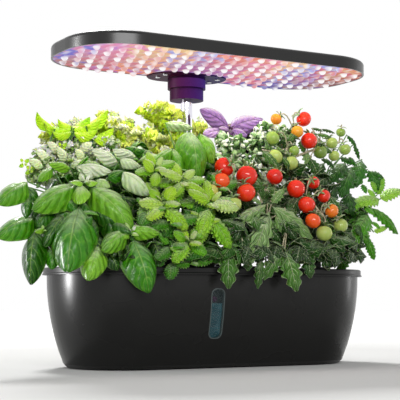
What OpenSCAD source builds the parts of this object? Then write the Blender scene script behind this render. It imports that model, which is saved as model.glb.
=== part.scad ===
/* [Deck and tank] */
// Length over the deck's skirt
deck_l = 400; // [398:1:404]
// Width over the deck's skirt
deck_w = 182; // [181:1:184]
// Height of the deck's rim above the table
deck_h = 111; // [110.5:0.5:112]
// Height of the deck's skirt
skirt_h = 8; // [7:0.5:8.5]
// How far the tank's wall stands in from the skirt at its top
wall_in_top = 5; // [4.8:0.1:5.5]
// How far the tank's wall stands in from the skirt at its base
wall_in_base = 26.5; // [25:0.5:28]
// Thickness of the tank's wall and floor
wall = 3; // [2.8:0.1:3.2]
// Height of the foot pads
pad_h = 1.2; // [0.8:0.1:1.2]

/* [Level window] */
// Middle of the window along the front wall
window_x = -35; // [-36:0.5:-34]
// Middle of the window above the table
window_z = 60.5; // [60:0.5:61]
// Width of the clear lens
lens_w = 15; // [14.5:0.1:15]
// Height of the clear lens
lens_h = 53; // [50:0.5:53]
// Water line above the table
water_z = 72; // [50:1:75]

/* [Pods] */
// Radius of a grow basket at its top
basket_r = 15; // [14:0.1:15]
// Depth of a grow basket
basket_d = 48; // [44:1:50]

/* [Pole] */
// Distance of the pole behind the middle of the deck
pole_y = 53; // [52.5:0.1:53.2]
// Outer diameter of the lowest tube
outer_d = 19; // [18.8:0.1:19]
// Outer diameter of the middle tube
middle_d = 16.5; // [16.4:0.1:16.6]
// Outer diameter of the top tube
inner_d = 14; // [13.9:0.1:14]
// Wall of each tube
tube_t = 0.8; // [0.6:0.1:0.8]

/* [Lamp] */
// Length of the lamp
lamp_l = 387; // [380:1:400]
// Width of the lamp
lamp_w = 160; // [156:1:164]
// Thickness of the lamp
lamp_t = 15; // [14:0.5:16]
// Corner radius of the lamp
lamp_r = 66; // [60:1:70]
// Height of the lamp's underside above the table
lamp_z = 347; // [345:1:360]
// Distance of the lamp's middle in front of the middle of the deck
lamp_forward = 12; // [10:1:14]

/* [Hidden] */
$fn = 72;

// Deck and tank: the plan is an oblong with half-round ends
half_l = deck_l/2;
half_w = deck_w/2;
skirt_z = deck_h - skirt_h;
plate_z = deck_h - 3.5;
plate_top = deck_h - 1;
wall_drop = wall_in_base - wall_in_top;
wall_rise = skirt_z;
wall_rho = (wall_rise*wall_rise + wall_drop*wall_drop)/(2*wall_drop);
wall_r = half_w - wall_in_top;
skirt_t = 3.8;
running = 0.08;

// Pods: [x, y] of each hole, by row
front_pods = [[-120, -46], [-40, -46], [40, -46]];
middle_pods = [[-160, 0], [-80, 0], [80, 0], [160, 0]];
back_pods = [[-132, 46], [-72, 46], [72, 46], [132, 46]];
planted_pods = concat(front_pods, middle_pods, back_pods);
spare_pod = [120, -46];
hole_r = basket_r + 0.35;
flange_r = basket_r + 3.2;
flange_t = 1.6;
sponge_top = plate_top - 1;

// Filling port and flap
port_y = -62;
port_l = 36;
port_w = 22;
frame_h = 1.2;
flap_t = 2;
pin_y = -46.5;
pin_z = plate_top + 3.3;
pin_r = 1;

// Console behind and round the pole
console_y = 60;
console_hx = 52;
console_hy = 25;
console_h = 14;
console_t = 2.2;
console_top = plate_top + console_h;
ceiling = console_top - console_t;
button_y = 76;
button_x = [-24, 0, 24];
button_r = 5.2;
light_x = [-12, 12];
screw_spots = [for (x = [-44, 44], y = [43, 66]) [x, y]];
inlet_x = 36;
board_top = plate_top + 4;
switch_h = 3.6;
press = 0.8;

// Pump, hung under the deck
pump_x = 0;
pump_y = 5;
pump_r = 22;
cover_z = 12;
motor_z = 26;
motor_top = 60;
riser_x = 28;

// Pole
socket_z = 82;
socket_r = 14;
tube_z = socket_z + 4;
outer_top = 206;
middle_z = tube_z;
middle_top = 216;
inner_z = 140;
inner_top = 338;
bush_l = 10;
bush_lip = 3;

// Lamp and its hub
lamp_top = lamp_z + lamp_t;
cover_t = 2;
panel_z = lamp_z + 0.2;
panel_t = 2;
board_z = lamp_z + 3.5;
board_t = 1.5;
spreader_t = 1.5;
flange_z = lamp_z - 1.5;
flange_hx = 50.5;
flange_hy = 31;
flange_corner = 29;
collar_r = 23.25;
collar_z = lamp_z - 15;
sleeve_r = 20.6;
sleeve_z = lamp_z - 29;
spigot_r = 15;
boss_r = 10;
lamp_screw_spots = [for (x = [-36, 36], y = [40, 60]) [x, y]];

// ---------- shared shapes ----------

// A body with straight sides and round corners, made from the profile that its edge has.
// The profile's x runs out from the corner's centre, and its y is the height.
module edge_swept(hx, hy, r, z0 = 0, z1 = 0) {
    cx = hx - r;
    cy = hy - r;
    corners = [[cx, cy], [-cx, cy], [-cx, -cy], [cx, -cy]];
    for (i = [0:3])
        translate(corners[i]) rotate([0, 0, 90*i]) rotate_extrude(angle = 90) children();
    if (cx > 0)
        for (turn = [0, 180])
            rotate([0, 0, turn]) translate([-cx, cy, 0]) rotate([90, 0, 90])
                linear_extrude(2*cx) children();
    if (cy > 0)
        for (turn = [90, -90])
            rotate([0, 0, turn]) translate([-cy, cx, 0]) rotate([90, 0, 90])
                linear_extrude(2*cy) children();
    if (cx > 0 && cy > 0 && z1 > z0)
        translate([-cx, -cy, z0]) cube([2*cx, 2*cy, z1 - z0]);
}

// The plan shape of the deck and tank
module oblong_swept() {
    edge_swept(half_l, half_w, half_w) children();
}

module rounded_rect(w, h, r) {
    square([w - 2*r, h], center = true);
    square([w, h - 2*r], center = true);
    for (x = [-1, 1], y = [-1, 1])
        translate([x*(w/2 - r), y*(h/2 - r)]) circle(r);
}

module tube(r_out, r_in, z0, z1) {
    translate([0, 0, z0]) difference() {
        cylinder(h = z1 - z0, r = r_out);
        translate([0, 0, -1]) cylinder(h = z1 - z0 + 2, r = r_in);
    }
}

module rod(r, z0, z1) {
    translate([0, 0, z0]) cylinder(h = z1 - z0, r = r);
}

module at_pole() {
    translate([0, pole_y, 0]) children();
}

module at_pump() {
    translate([pump_x, pump_y, 0]) children();
}

// ---------- tank ----------

// Half of the tank's cross-section, moved in from its outside: an arc below, upright above
module wall_profile(inset, z0, top) {
    intersection() {
        translate([wall_r - wall_rho, skirt_z]) circle(wall_rho - inset, $fn = 360);
        translate([0, z0]) square([half_w, skirt_z - z0]);
    }
    translate([0, skirt_z]) square([wall_r - inset, top - skirt_z]);
}

// A layer of the front wall beside the window, between two depths from its outside
module front_layer(from, to) {
    translate([window_x - 20, 0, 0]) mirror([0, 1, 0]) rotate([90, 0, 90]) linear_extrude(40)
        difference() {
            intersection() {
                translate([wall_r - wall_rho, skirt_z]) circle(wall_rho - from, $fn = 360);
                translate([0, 20]) square([half_w, skirt_z - 20]);
            }
            translate([wall_r - wall_rho, skirt_z]) circle(wall_rho - to, $fn = 360);
        }
}

module window_prism(w, h, r) {
    translate([window_x, 0, window_z]) rotate([90, 0, 0]) linear_extrude(half_w + 10) rounded_rect(w, h, r);
}

module tank_shell() color([0.13, 0.13, 0.13]) difference() {
    oblong_swept() difference() {
        wall_profile(0, pad_h, plate_z);
        base_r = wall_r - wall_drop;
        polygon([[base_r - 3, pad_h - 1], [base_r + 3, pad_h - 1], [base_r + 3, pad_h + 4.5]]);
    }
    oblong_swept() union() {
        wall_profile(wall, pad_h + wall, plate_z);
        translate([0, plate_z - 0.5]) square([wall_r - wall, 2]);
    }
    window_prism(lens_w + 2, lens_h + 2, 6.5);
}

module foot_pads() color([0.08, 0.08, 0.08]) {
    rod(9, 0, pad_h);
    for (x = [-135, 135], y = [-36, 36])
        translate([x, y, 0]) rod(9, 0, pad_h);
}

module window_gasket() color([0.05, 0.05, 0.05]) difference() {
    intersection() {
        front_layer(-0.2, wall);
        window_prism(lens_w + 2, lens_h + 2, 6.5);
    }
    window_prism(lens_w, lens_h, 5.5);
}

module window_lens() color([0.7, 0.85, 0.88, 0.4]) intersection() {
    front_layer(-0.4, 2.6);
    window_prism(lens_w, lens_h, 5.5);
}

module gauge_water() color([0.08, 0.38, 0.42]) intersection() {
    front_layer(2.6, 4.6);
    window_prism(lens_w - 1, lens_h - 1, 5);
    translate([window_x - 20, -half_w, 0]) cube([40, half_w, water_z]);
}

module float_guide() color([0.1, 0.1, 0.1]) difference() {
    intersection() {
        front_layer(wall, 17);
        translate([window_x - 10, -half_w, window_z - 31]) cube([20, half_w, 62]);
    }
    intersection() {
        front_layer(wall - 1, 15.2);
        translate([window_x - 7.5, -half_w, window_z - 29]) cube([15, half_w, 70]);
    }
    translate([window_x - 2, -half_w, window_z - 25]) cube([4, half_w, 44]);
}

module level_float() color([0.15, 0.15, 0.15])
    translate([window_x, -75, 76]) sphere(3.6);

// ---------- planting deck ----------

module deck_profile() {
    polygon([
        [0, plate_z], [half_w - skirt_t, plate_z],
        [half_w - skirt_t, skirt_z], [half_w, skirt_z],
        [half_w, skirt_z + 1.3], [half_w - 1, skirt_z + 2.2],
        [half_w - 1, deck_h - 1.2], [half_w - 2.2, deck_h],
        [half_w - 3.4, deck_h], [half_w - 4.4, plate_top], [0, plate_top]
    ]);
}

module deck_lid() color([0.12, 0.12, 0.12]) {
    difference() {
        union() {
            oblong_swept() deck_profile();
            oblong_swept() translate([wall_r - wall - 1.3, skirt_z]) square([0.8, plate_z - skirt_z]);
            translate([0, port_y, plate_z]) linear_extrude(plate_top + frame_h - plate_z)
                square([port_l + 4, port_w + 4], center = true);
            for (side = [-1, 1])
                translate([side*14.75, pin_y, 0]) flap_ear();
        }
        for (p = concat(planted_pods, [spare_pod]))
            translate([p.x, p.y, 0]) rod(hole_r, plate_z - 1, deck_h + 1);
        translate([-port_l/2, port_y - port_w/2, plate_z - 1]) cube([port_l, port_w, 12]);
        at_pole() rod(socket_r + 0.1, plate_z - 1, deck_h + 1);
        for (p = screw_spots)
            translate([p.x, p.y, 0]) rod(1.6, plate_z - 1, deck_h + 1);
    }
}

// An ear beside the flap that holds the end of its pin
module flap_ear() {
    difference() {
        union() {
            translate([-1.75, 0, pin_z]) rotate([0, 90, 0]) cylinder(h = 3.5, r = 2.5);
            translate([-1.75, -2.5, plate_top - 1]) cube([3.5, 5, pin_z - plate_top + 1]);
        }
        translate([-3, 0, pin_z]) rotate([0, 90, 0]) cylinder(h = 6, r = pin_r + 0.02);
    }
}

// A tapered cup with a lip, six tall slots and a drain hole
module basket(p) {
    bottom = plate_top - basket_d;
    translate([p.x, p.y, 0]) difference() {
        union() {
            rod(flange_r, plate_top, plate_top + flange_t);
            translate([0, 0, bottom]) cylinder(h = basket_d + 0.5, r1 = basket_r - 3.5, r2 = basket_r);
        }
        translate([0, 0, bottom + 1.6])
            cylinder(h = basket_d + 2, r1 = basket_r - 4.7, r2 = basket_r - 1.1);
        rod(4, bottom - 1, bottom + 3);
        for (i = [0:2])
            rotate([0, 0, 60*i]) translate([-basket_r - 2, -2, bottom + 6])
                cube([2*basket_r + 4, 4, basket_d - 16]);
    }
}

module sponge(p) {
    translate([p.x, p.y, sponge_top - 38]) cylinder(h = 38, r1 = basket_r - 4.4, r2 = basket_r - 1.7);
}

module front_baskets() color([0.16, 0.16, 0.16]) {
    for (p = front_pods) basket(p);
}

module middle_baskets() color([0.16, 0.16, 0.16]) {
    for (p = middle_pods) basket(p);
}

module back_baskets() color([0.16, 0.16, 0.16]) {
    for (p = back_pods) basket(p);
}

module grow_sponges() color([0.3, 0.2, 0.12]) {
    for (p = planted_pods) sponge(p);
}

module spare_basket() color([0.16, 0.16, 0.16]) basket(spare_pod);

module spare_sponge() color([0.3, 0.2, 0.12]) sponge(spare_pod);

module spare_cap() color([0.2, 0.2, 0.2]) translate([spare_pod.x, spare_pod.y, 0]) {
    cap_z = plate_top + flange_t;
    rod(flange_r, cap_z, cap_z + 1.4);
    rod(flange_r - 2, cap_z + 1, cap_z + 2.4);
    tube(basket_r - 1.6, basket_r - 2.8, sponge_top + 0.2, cap_z + 0.5);
    translate([-8, -1, cap_z + 1]) cube([16, 2, 6]);
}

// ---------- filling flap ----------

module flap_pin() color([0.75, 0.75, 0.77])
    translate([-16.5, pin_y, pin_z]) rotate([0, 90, 0]) cylinder(h = 33, r = pin_r);

module fill_flap() color([0.14, 0.14, 0.14]) difference() {
    union() {
        translate([-20, port_y - 13.5, plate_top + frame_h]) cube([40, 26, flap_t]);
        translate([-12, port_y + 11, plate_top + 2]) cube([24, pin_y - port_y - 11, 2]);
        translate([-12, pin_y, pin_z]) rotate([0, 90, 0]) cylinder(h = 24, r = 2.3);
        translate([-8, port_y - 14.5, plate_top + frame_h + 0.4]) cube([16, 2, 1.6]);
    }
    translate([-14, pin_y, pin_z]) rotate([0, 90, 0]) cylinder(h = 28, r = pin_r + 0.06);
}

// ---------- console ----------

module console_profile(inset, z0, z1, r) {
    polygon([[0, z0], [r - inset, z0], [r - inset, z1 - 1.5], [r - inset - 1.5, z1], [0, z1]]);
}

module console_cover() color([0.1, 0.1, 0.1]) difference() {
    union() {
        difference() {
            translate([0, console_y, 0]) edge_swept(console_hx, console_hy, 10, plate_top, console_top)
                console_profile(0, plate_top, console_top, 10);
            translate([0, console_y, 0]) edge_swept(console_hx, console_hy, 10, plate_top - 1, ceiling)
                polygon([[0, plate_top - 1], [8, plate_top - 1], [8, ceiling], [0, ceiling]]);
        }
        for (p = screw_spots)
            translate([p.x, p.y, 0]) rod(3.4, plate_top, ceiling + 0.5);
    }
    for (p = screw_spots)
        translate([p.x, p.y, 0]) rod(1.45, plate_top - 1, plate_top + 8);
    at_pole() rod(socket_r + 0.1, plate_top, console_top + 1);
    for (x = button_x)
        translate([x, button_y, 0]) rod(button_r + 0.1, ceiling - 1, console_top + 1);
    for (x = light_x)
        translate([x, button_y, 0]) rod(1.6, ceiling - 1, console_top + 1);
    translate([inlet_x - 5.2, console_y + console_hy - 4, plate_top + 1.8]) cube([10.4, 6, 9.8]);
}

module control_board() color([0.1, 0.3, 0.16]) {
    translate([-29, button_y - 5.5, board_top - 1.6]) cube([58, 11, 1.6]);
    for (x = button_x)
        translate([x - 3, button_y - 3, board_top - 0.5]) cube([6, 6, switch_h + 0.5]);
    for (x = [-26, 26], y = [-3.5, 3.5])
        translate([x, button_y + y, 0]) rod(1.5, plate_top, board_top - 1);
}

module light_pipes() color([0.85, 0.9, 0.9]) {
    for (x = light_x)
        translate([x, button_y, 0]) rod(1.5, board_top, console_top + 0.3);
}

module power_inlet() color([0.09, 0.09, 0.09]) {
    back = console_y + console_hy;
    difference() {
        translate([inlet_x - 5, back - 10.5, plate_top + 2]) cube([10, 10.5, 9.4]);
        translate([inlet_x, back + 1, plate_top + 6.7]) rotate([90, 0, 0]) cylinder(h = 10, r = 2.75);
    }
    translate([inlet_x, back - 0.6, plate_top + 6.7]) rotate([90, 0, 0]) cylinder(h = 9, r = 1);
}

module console_screws() color([0.7, 0.7, 0.72]) {
    for (p = screw_spots) translate([p.x, p.y, 0]) {
        rod(3, plate_z - 2.2, plate_z);
        rod(1.4, plate_z - 1, plate_top + 7);
    }
}

module button(i) {
    translate([button_x[i], button_y, 0]) difference() {
        union() {
            rod(2, board_top + switch_h + press + 0.1, ceiling - 2);
            rod(button_r + 1, ceiling - 2.2, ceiling - 0.2);
            rod(button_r, ceiling - 1, console_top + 1.2);
        }
        translate([0, 0, console_top + 24.7]) sphere(24, $fn = 180);
    }
}

module light_button() color([0.2, 0.2, 0.2]) button(0);

module pump_button() color([0.2, 0.2, 0.2]) button(1);

module mode_button() color([0.2, 0.2, 0.2]) button(2);

// ---------- pump ----------

module pump_hanger() color([0.12, 0.12, 0.12]) at_pump() {
    tube(15, 12.8, motor_top, plate_z);
    tube(20, 14, plate_z - 2.5, plate_z);
    tube(pump_r, 14, motor_top, motor_top + 2.5);
}

module pump_housing() color([0.1, 0.1, 0.1]) at_pump() difference() {
    rod(pump_r, motor_z, motor_top);
    tube(20, 12.5, motor_z + 2, motor_top + 1);
    rod(10.2, motor_z - 1, motor_top - 6);
    rod(1.25, motor_top - 7, motor_top - 3);
}

module pump_coil() color([0.72, 0.42, 0.2]) at_pump() tube(19.8, 12.7, motor_z + 2, motor_top - 4);

module pump_cover() color([0.1, 0.1, 0.1]) at_pump() difference() {
    union() {
        rod(pump_r, cover_z, motor_z);
        translate([riser_x, 0, 0]) rod(7, cover_z, motor_z - 2);
        translate([riser_x, 0, 0]) rod(3.9, motor_z - 3, motor_z + 7);
    }
    rod(18, cover_z + 2, motor_z + 1);
    rod(6.5, cover_z - 1, cover_z + 3);
    translate([14, -2.6, cover_z + 4.5]) cube([riser_x - 14, 5.2, 5]);
    translate([riser_x, 0, 0]) rod(2.6, cover_z + 4.5, motor_z + 8);
}

module pump_filter() color([0.25, 0.25, 0.24]) at_pump() difference() {
    rod(21, pad_h + wall + 1.2, cover_z);
    rod(6.5, cover_z - 4, cover_z + 1);
}

module riser_tube() color([0.8, 0.82, 0.82]) at_pump()
    translate([riser_x, 0, 0]) tube(5.2, 3.95, motor_z - 2, plate_z - 7);

module impeller_shaft() color([0.8, 0.8, 0.82]) at_pump() rod(1.2, cover_z + 2.6, motor_top - 3);

module impeller() color([0.85, 0.85, 0.82]) at_pump() difference() {
    union() {
        rod(3, cover_z + 3, motor_top - 7.5);
        rod(14, cover_z + 9, cover_z + 10.5);
        for (i = [0:2])
            rotate([0, 0, 60*i]) translate([-13.2, -0.8, cover_z + 3.5]) cube([26.4, 1.6, 6]);
    }
    rod(1.26, cover_z, motor_top);
}

module rotor_magnet() color([0.3, 0.3, 0.32]) at_pump() tube(9.8, 3, motor_z + 1.5, motor_top - 8);

// ---------- pole ----------

module pole_socket() color([0.1, 0.1, 0.1]) at_pole() difference() {
    union() {
        rod(socket_r, socket_z, console_top + 1);
        rod(socket_r + 3, console_top, console_top + 6);
        rod(socket_r + 1, console_top + 5, console_top + 8);
    }
    rod(outer_d/2 + 0.05, tube_z, console_top + 9);
}

module pole_outer() color([0.8, 0.8, 0.82]) at_pole()
    tube(outer_d/2, outer_d/2 - tube_t, tube_z, outer_top);

module guide_bush(r_tube, r_hole, top) {
    tube(r_tube, r_hole, top - bush_l, top);
    tube(r_tube + 1.8, r_hole, top, top + bush_lip);
}

module outer_bush() color([0.1, 0.1, 0.1]) at_pole()
    guide_bush(outer_d/2 - tube_t, middle_d/2 + running, outer_top);

module pole_middle() color([0.8, 0.8, 0.82]) at_pole()
    tube(middle_d/2, middle_d/2 - tube_t, middle_z, middle_top);

module middle_bush() color([0.1, 0.1, 0.1]) at_pole()
    guide_bush(middle_d/2 - tube_t, inner_d/2 + running, middle_top);

module pole_inner() color([0.8, 0.8, 0.82]) at_pole()
    tube(inner_d/2, inner_d/2 - tube_t, inner_z, inner_top);

module pole_plug() color([0.75, 0.65, 0.35]) at_pole() {
    rod(inner_d/2 - tube_t - 0.05, inner_top - 16, inner_top);
    for (x = [-2.5, 2.5], y = [-2.5, 2.5])
        translate([x, y, 0]) rod(0.6, inner_top - 1, inner_top + 3);
}

// ---------- lamp ----------

module hub_sleeve() color([0.07, 0.07, 0.08]) at_pole() difference() {
    union() {
        rod(sleeve_r, sleeve_z, collar_z);
        rod(spigot_r, collar_z - 1, collar_z + 12.5);
    }
    rod(inner_d/2 + running, sleeve_z - 1, inner_top);
    rod(5, inner_top - 1, inner_top + 5);
}

module hub_flange() color([0.07, 0.07, 0.08]) difference() {
    union() {
        at_pole() rod(collar_r, collar_z, flange_z + 0.5);
        at_pole() edge_swept(flange_hx, flange_hy, flange_corner, flange_z, lamp_z) polygon([
            [0, flange_z], [flange_corner - 1, flange_z], [flange_corner, flange_z + 1],
            [flange_corner, lamp_z], [0, lamp_z]
        ]);
        at_pole() rod(boss_r, lamp_z - 1, lamp_z + 6);
    }
    at_pole() rod(spigot_r + 0.1, collar_z - 1, collar_z + 13);
    for (p = lamp_screw_spots) translate([p.x, p.y, 0]) {
        rod(3.1, flange_z - 1, flange_z + 0.6);
        rod(1.6, flange_z, lamp_z + 1);
    }
}

// The lamp's plan shape, with a profile out to radius r at its corners
module lamp_swept(inset, z0, z1) {
    translate([0, -lamp_forward, 0])
        edge_swept(lamp_l/2 - inset, lamp_w/2 - inset, lamp_r - inset, z0, z1) children();
}

module lamp_plate(inset, z0, z1) {
    lamp_swept(inset, z0, z1) translate([0, z0]) square([lamp_r - inset, z1 - z0]);
}

module lamp_cover() color([0.12, 0.12, 0.12]) {
    edge = 4;
    difference() {
        lamp_swept(0, lamp_z, lamp_top) union() {
            translate([0, lamp_z]) square([lamp_r - edge, lamp_t]);
            translate([0, lamp_z]) square([lamp_r, lamp_t - edge]);
            translate([lamp_r - edge, lamp_top - edge]) circle(edge);
        }
        lamp_plate(cover_t, lamp_z - 1, lamp_top - cover_t);
    }
    for (p = lamp_screw_spots)
        translate([p.x, p.y, 0]) tube(3.5, 1.45, board_z + 4, lamp_top - cover_t + 0.5);
}

// Holes for the hub's boss and screws through the plates inside the lamp
module hub_holes(z0, z1) {
    at_pole() rod(boss_r + 0.3, z0 - 1, z1 + 1);
    for (p = lamp_screw_spots)
        translate([p.x, p.y, 0]) rod(1.8, z0 - 1, z1 + 1);
}

module lens_panel() color([0.95, 0.93, 0.97]) difference() {
    lamp_plate(cover_t + 0.3, panel_z, panel_z + panel_t);
    hub_holes(panel_z, panel_z + panel_t);
}

module led_board() color([0.9, 0.85, 0.6]) difference() {
    lamp_plate(cover_t + 0.8, board_z, board_z + board_t);
    hub_holes(board_z, board_z + board_t);
}

module heat_spreader() color([0.75, 0.76, 0.78]) difference() {
    lamp_plate(cover_t + 0.8, board_z + board_t, board_z + board_t + spreader_t);
    hub_holes(board_z + board_t, board_z + board_t + spreader_t);
}

module lamp_driver() color([0.1, 0.3, 0.16]) {
    driver_z = board_z + board_t + spreader_t;
    translate([-150, -30, driver_z]) cube([80, 34, 1.6]);
    for (i = [0:3])
        translate([-144 + 19*i, -22, driver_z + 1]) cube([10, 12 + 3*i, 4]);
}

module lamp_screws() color([0.2, 0.2, 0.2]) {
    for (p = lamp_screw_spots) translate([p.x, p.y, 0]) {
        rod(3, flange_z - 0.8, flange_z + 0.5);
        rod(1.4, flange_z, lamp_z + 10);
    }
}

// ---------- plants ----------

function unit(v) = v/norm(v);

// A stalk from one point to another
module stalk(a, b, r = 1.6) {
    d = b - a;
    translate(a) rotate([0, acos(d.z/norm(d)), atan2(d.y, d.x)]) cylinder(h = norm(d), r = r, $fn = 6);
}

// A folded, arched leaf from its base to its tip: three ribs across it and a point at each end
module leaf(base, tip, width, arch = 0.1) {
    len = norm(tip - base);
    along = unit(tip - base);
    side = unit(cross(along, [0, 0, 1]));
    out = cross(side, along);
    places = [0.24, 0.52, 0.8];
    spread = [0.42, 0.5, 0.3];
    thick = 0.8;
    function rib(i) = base + along*len*places[i] + out*arch*len*4*places[i]*(1 - places[i]);
    points = concat([base, tip], [for (i = [0:2]) each [
        rib(i) - side*width*spread[i],
        rib(i) - out*(width*0.08 - thick),
        rib(i) + side*width*spread[i],
        rib(i) - out*(width*0.08 + thick)
    ]]);
    function ring(i) = [for (k = [0:3]) 2 + 4*i + k];
    ends = concat(
        [for (k = [0:3]) [0, ring(0)[k], ring(0)[(k + 1) % 4]]],
        [for (k = [0:3]) [1, ring(2)[(k + 1) % 4], ring(2)[k]]]);
    sides = [for (i = [0:1], k = [0:3]) each [
        [ring(i)[k], ring(i + 1)[k], ring(i + 1)[(k + 1) % 4]],
        [ring(i)[k], ring(i + 1)[(k + 1) % 4], ring(i)[(k + 1) % 4]]
    ]];
    polyhedron(points, concat(ends, sides));
}

// Leaves: each is [base, tip, width]
module leaves(list) {
    for (l = list) leaf(l[0], l[1], l[2]);
}

// Leaves that stand out all round a point, each from radius r0 to r1 and dz higher at its tip
module leaf_ring(c, n, r0, r1, dz, width, turn = 0) {
    for (i = [0:n - 1]) {
        way = [cos(turn + 360*i/n), sin(turn + 360*i/n), 0];
        leaf(c + way*r0, c + way*r1 + [0, 0, dz], width);
    }
}

// The dense inside of a plant: each ball is [x, y, z, r]
module crown(balls) {
    for (b = balls) translate([b.x, b.y, b.z]) sphere(b[3], $fn = 10);
}

// A stalk up from a pod to the inside of its plant
module from_pod(p, to, r = 2.4) {
    stalk([p.x, p.y, sponge_top], to, r);
}

module basil_left() color([0.24, 0.52, 0.14]) {
    from_pod([-160, 0], [-172, -14, 190]);
    from_pod([-120, -46], [-150, -76, 146]);
    stalk([-150, -76, 146], [-190, -66, 156], 2);
    stalk([-173, -15, 188], [-190, -44, 170], 3);
    crown([
        [-172, -12, 194, 22], [-192, -46, 172, 24], [-206, -36, 148, 19], [-188, -68, 150, 19],
        [-150, -76, 148, 17], [-158, -8, 214, 14], [-148, -30, 188, 17]
    ]);
    leaves([
        [[-200, -62, 173], [-211, -88, 104], 54], [[-192, -46, 188], [-243, -60, 182], 30],
        [[-184, -55, 179], [-140, -95, 175], 34], [[-191, -60, 178], [-192, -78, 213], 16],
        [[-214, -44, 150], [-239, -60, 92], 24], [[-216, -36, 154], [-273, -45, 137], 22],
        [[-206, -30, 160], [-266, -30, 179], 14], [[-186, -83, 154], [-196, -110, 96], 28],
        [[-145, -88, 142], [-137, -112, 84], 38], [[-164, -78, 148], [-162, -106, 128], 20],
        [[-142, -78, 150], [-109, -88, 154], 20], [[-151, -10, 222], [-102, -20, 243], 26],
        [[-138, -34, 194], [-96, -42, 213], 24], [[-170, -4, 206], [-188, 22, 222], 24]
    ]);
}

module basil_centre() color([0.3, 0.58, 0.16]) {
    from_pod([-80, 0], [-72, -16, 190]);
    stalk([-74, -17, 200], [-88, -24, 222], 2);
    crown([[-72, -16, 196, 20], [-50, -26, 220, 17], [-82, -6, 160, 14], [-88, -24, 224, 13]]);
    leaves([
        [[-41, -28, 214], [-33, -36, 270], 36], [[-91, -30, 228], [-53, -34, 245], 18],
        [[-48, -38, 216], [-14, -46, 236], 22], [[-84, -26, 200], [-100, -40, 180], 20],
        [[-54, -20, 230], [-62, -6, 258], 22], [[-66, -4, 200], [-48, 22, 212], 24],
        [[-88, 4, 158], [-104, 22, 150], 20]
    ]);
}

module mint() color([0.26, 0.5, 0.26]) {
    from_pod([-40, -46], [-58, -64, 156]);
    crown([[-64, -68, 160, 22], [-52, -54, 184, 14], [-88, -78, 142, 18], [-64, -54, 206, 14]]);
    leaf_ring([-64, -70, 166], 6, 12, 36, -4, 18, 20);
    leaf_ring([-52, -56, 181], 5, 10, 32, -6, 16, 30);
    leaves([
        [[-96, -88, 134], [-100, -104, 98], 26], [[-82, -90, 136], [-81, -104, 110], 20],
        [[-98, -78, 148], [-126, -84, 158], 18], [[-62, -60, 214], [-60, -68, 236], 20],
        [[-68, -54, 212], [-88, -50, 226], 18]
    ]);
}

// Fruit: each is [x, y, z, r]
fruit = [
    [83, -20, 292, 6.9], [123, -20, 295, 9.4], [110, -25, 278, 7.7], [127, -25, 268, 10.1],
    [75, -25, 268, 8.4], [75, -30, 245, 9.2], [94, -35, 238, 8.8], [103, -28, 254, 6.9],
    [147, -20, 256, 8.6], [168, -15, 269, 7.4], [190, -12, 263, 7.5], [184, -12, 284, 6],
    [169, -18, 253, 7], [-7, -50, 226, 11.4], [-18, -62, 208, 10.1], [17, -60, 216, 12.3],
    [10, -70, 196, 10.8], [58, -55, 218, 9.6], [-35, -70, 196, 7.8], [-13, -82, 181, 8.5],
    [81, -65, 204, 10.7], [109, -60, 213, 7.5], [89, -75, 185, 10.1], [118, -68, 197, 7.8],
    [90, -86, 166, 9.1], [122, -78, 179, 8.2], [104, -88, 152, 9.6], [133, -80, 162, 8.7]
];

// The vine's branches: each runs through its points
vine = [
    [[40, -46, sponge_top], [45, -50, 150], [62, -46, 200], [86, -30, 240], [104, -18, 270],
        [112, -14, 288]],
    [[62, -46, 200], [20, -50, 208], [-26, -60, 200]],
    [[62, -46, 200], [96, -62, 194], [112, -76, 172]],
    [[86, -30, 240], [150, -12, 262], [184, -8, 272]]
];

// The branch point that lies nearest a fruit
knots = [for (b = vine) each b];
function nearest(f) =
    let (far = [for (k = knots) norm(k - [f.x, f.y, f.z])])
    knots[search(min(far), far)[0]];

module tomato_vine() color([0.3, 0.42, 0.26]) {
    for (b = vine, i = [0:len(b) - 2]) stalk(b[i], b[i + 1], 2);
    for (f = fruit) stalk(nearest(f), [f.x, f.y, f.z], 0.9);
    crown([[40, -66, 158, 17], [17, -76, 161, 14], [62, -76, 158, 14], [-14, -84, 154, 12]]);
    stalk([44, -50, 140], [40, -66, 158], 2);
    stalk([14, -78, 162], [-13, -83, 155], 2);
    leaves([
        [[-17, -87, 151], [-34, -106, 94], 24], [[10, -84, 157], [2, -108, 92], 24],
        [[22, -81, 157], [26, -108, 101], 22], [[58, -81, 154], [47, -110, 81], 26],
        [[62, -84, 164], [87, -96, 158], 22], [[34, -70, 165], [12, -88, 186], 20],
        [[47, -69, 164], [66, -84, 186], 20], [[-16, -82, 157], [-40, -84, 172], 16]
    ]);
}

module tomato_fruit() color([0.8, 0.12, 0.05]) {
    for (f = fruit) translate([f.x, f.y, f.z]) sphere(f[3]);
}

module parsley() color([0.32, 0.6, 0.16]) {
    from_pod([-132, 46], [-152, 39, 218]);
    crown([[-152, 38, 220, 19], [-180, 32, 230, 18], [-206, 28, 236, 14], [-146, 44, 188, 12]]);
    leaf_ring([-206, 28, 240], 5, 8, 22, 6, 14, 36);
    leaf_ring([-180, 32, 238], 5, 10, 28, 10, 14);
    leaf_ring([-152, 40, 230], 5, 10, 26, 10, 14, 20);
}

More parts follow.
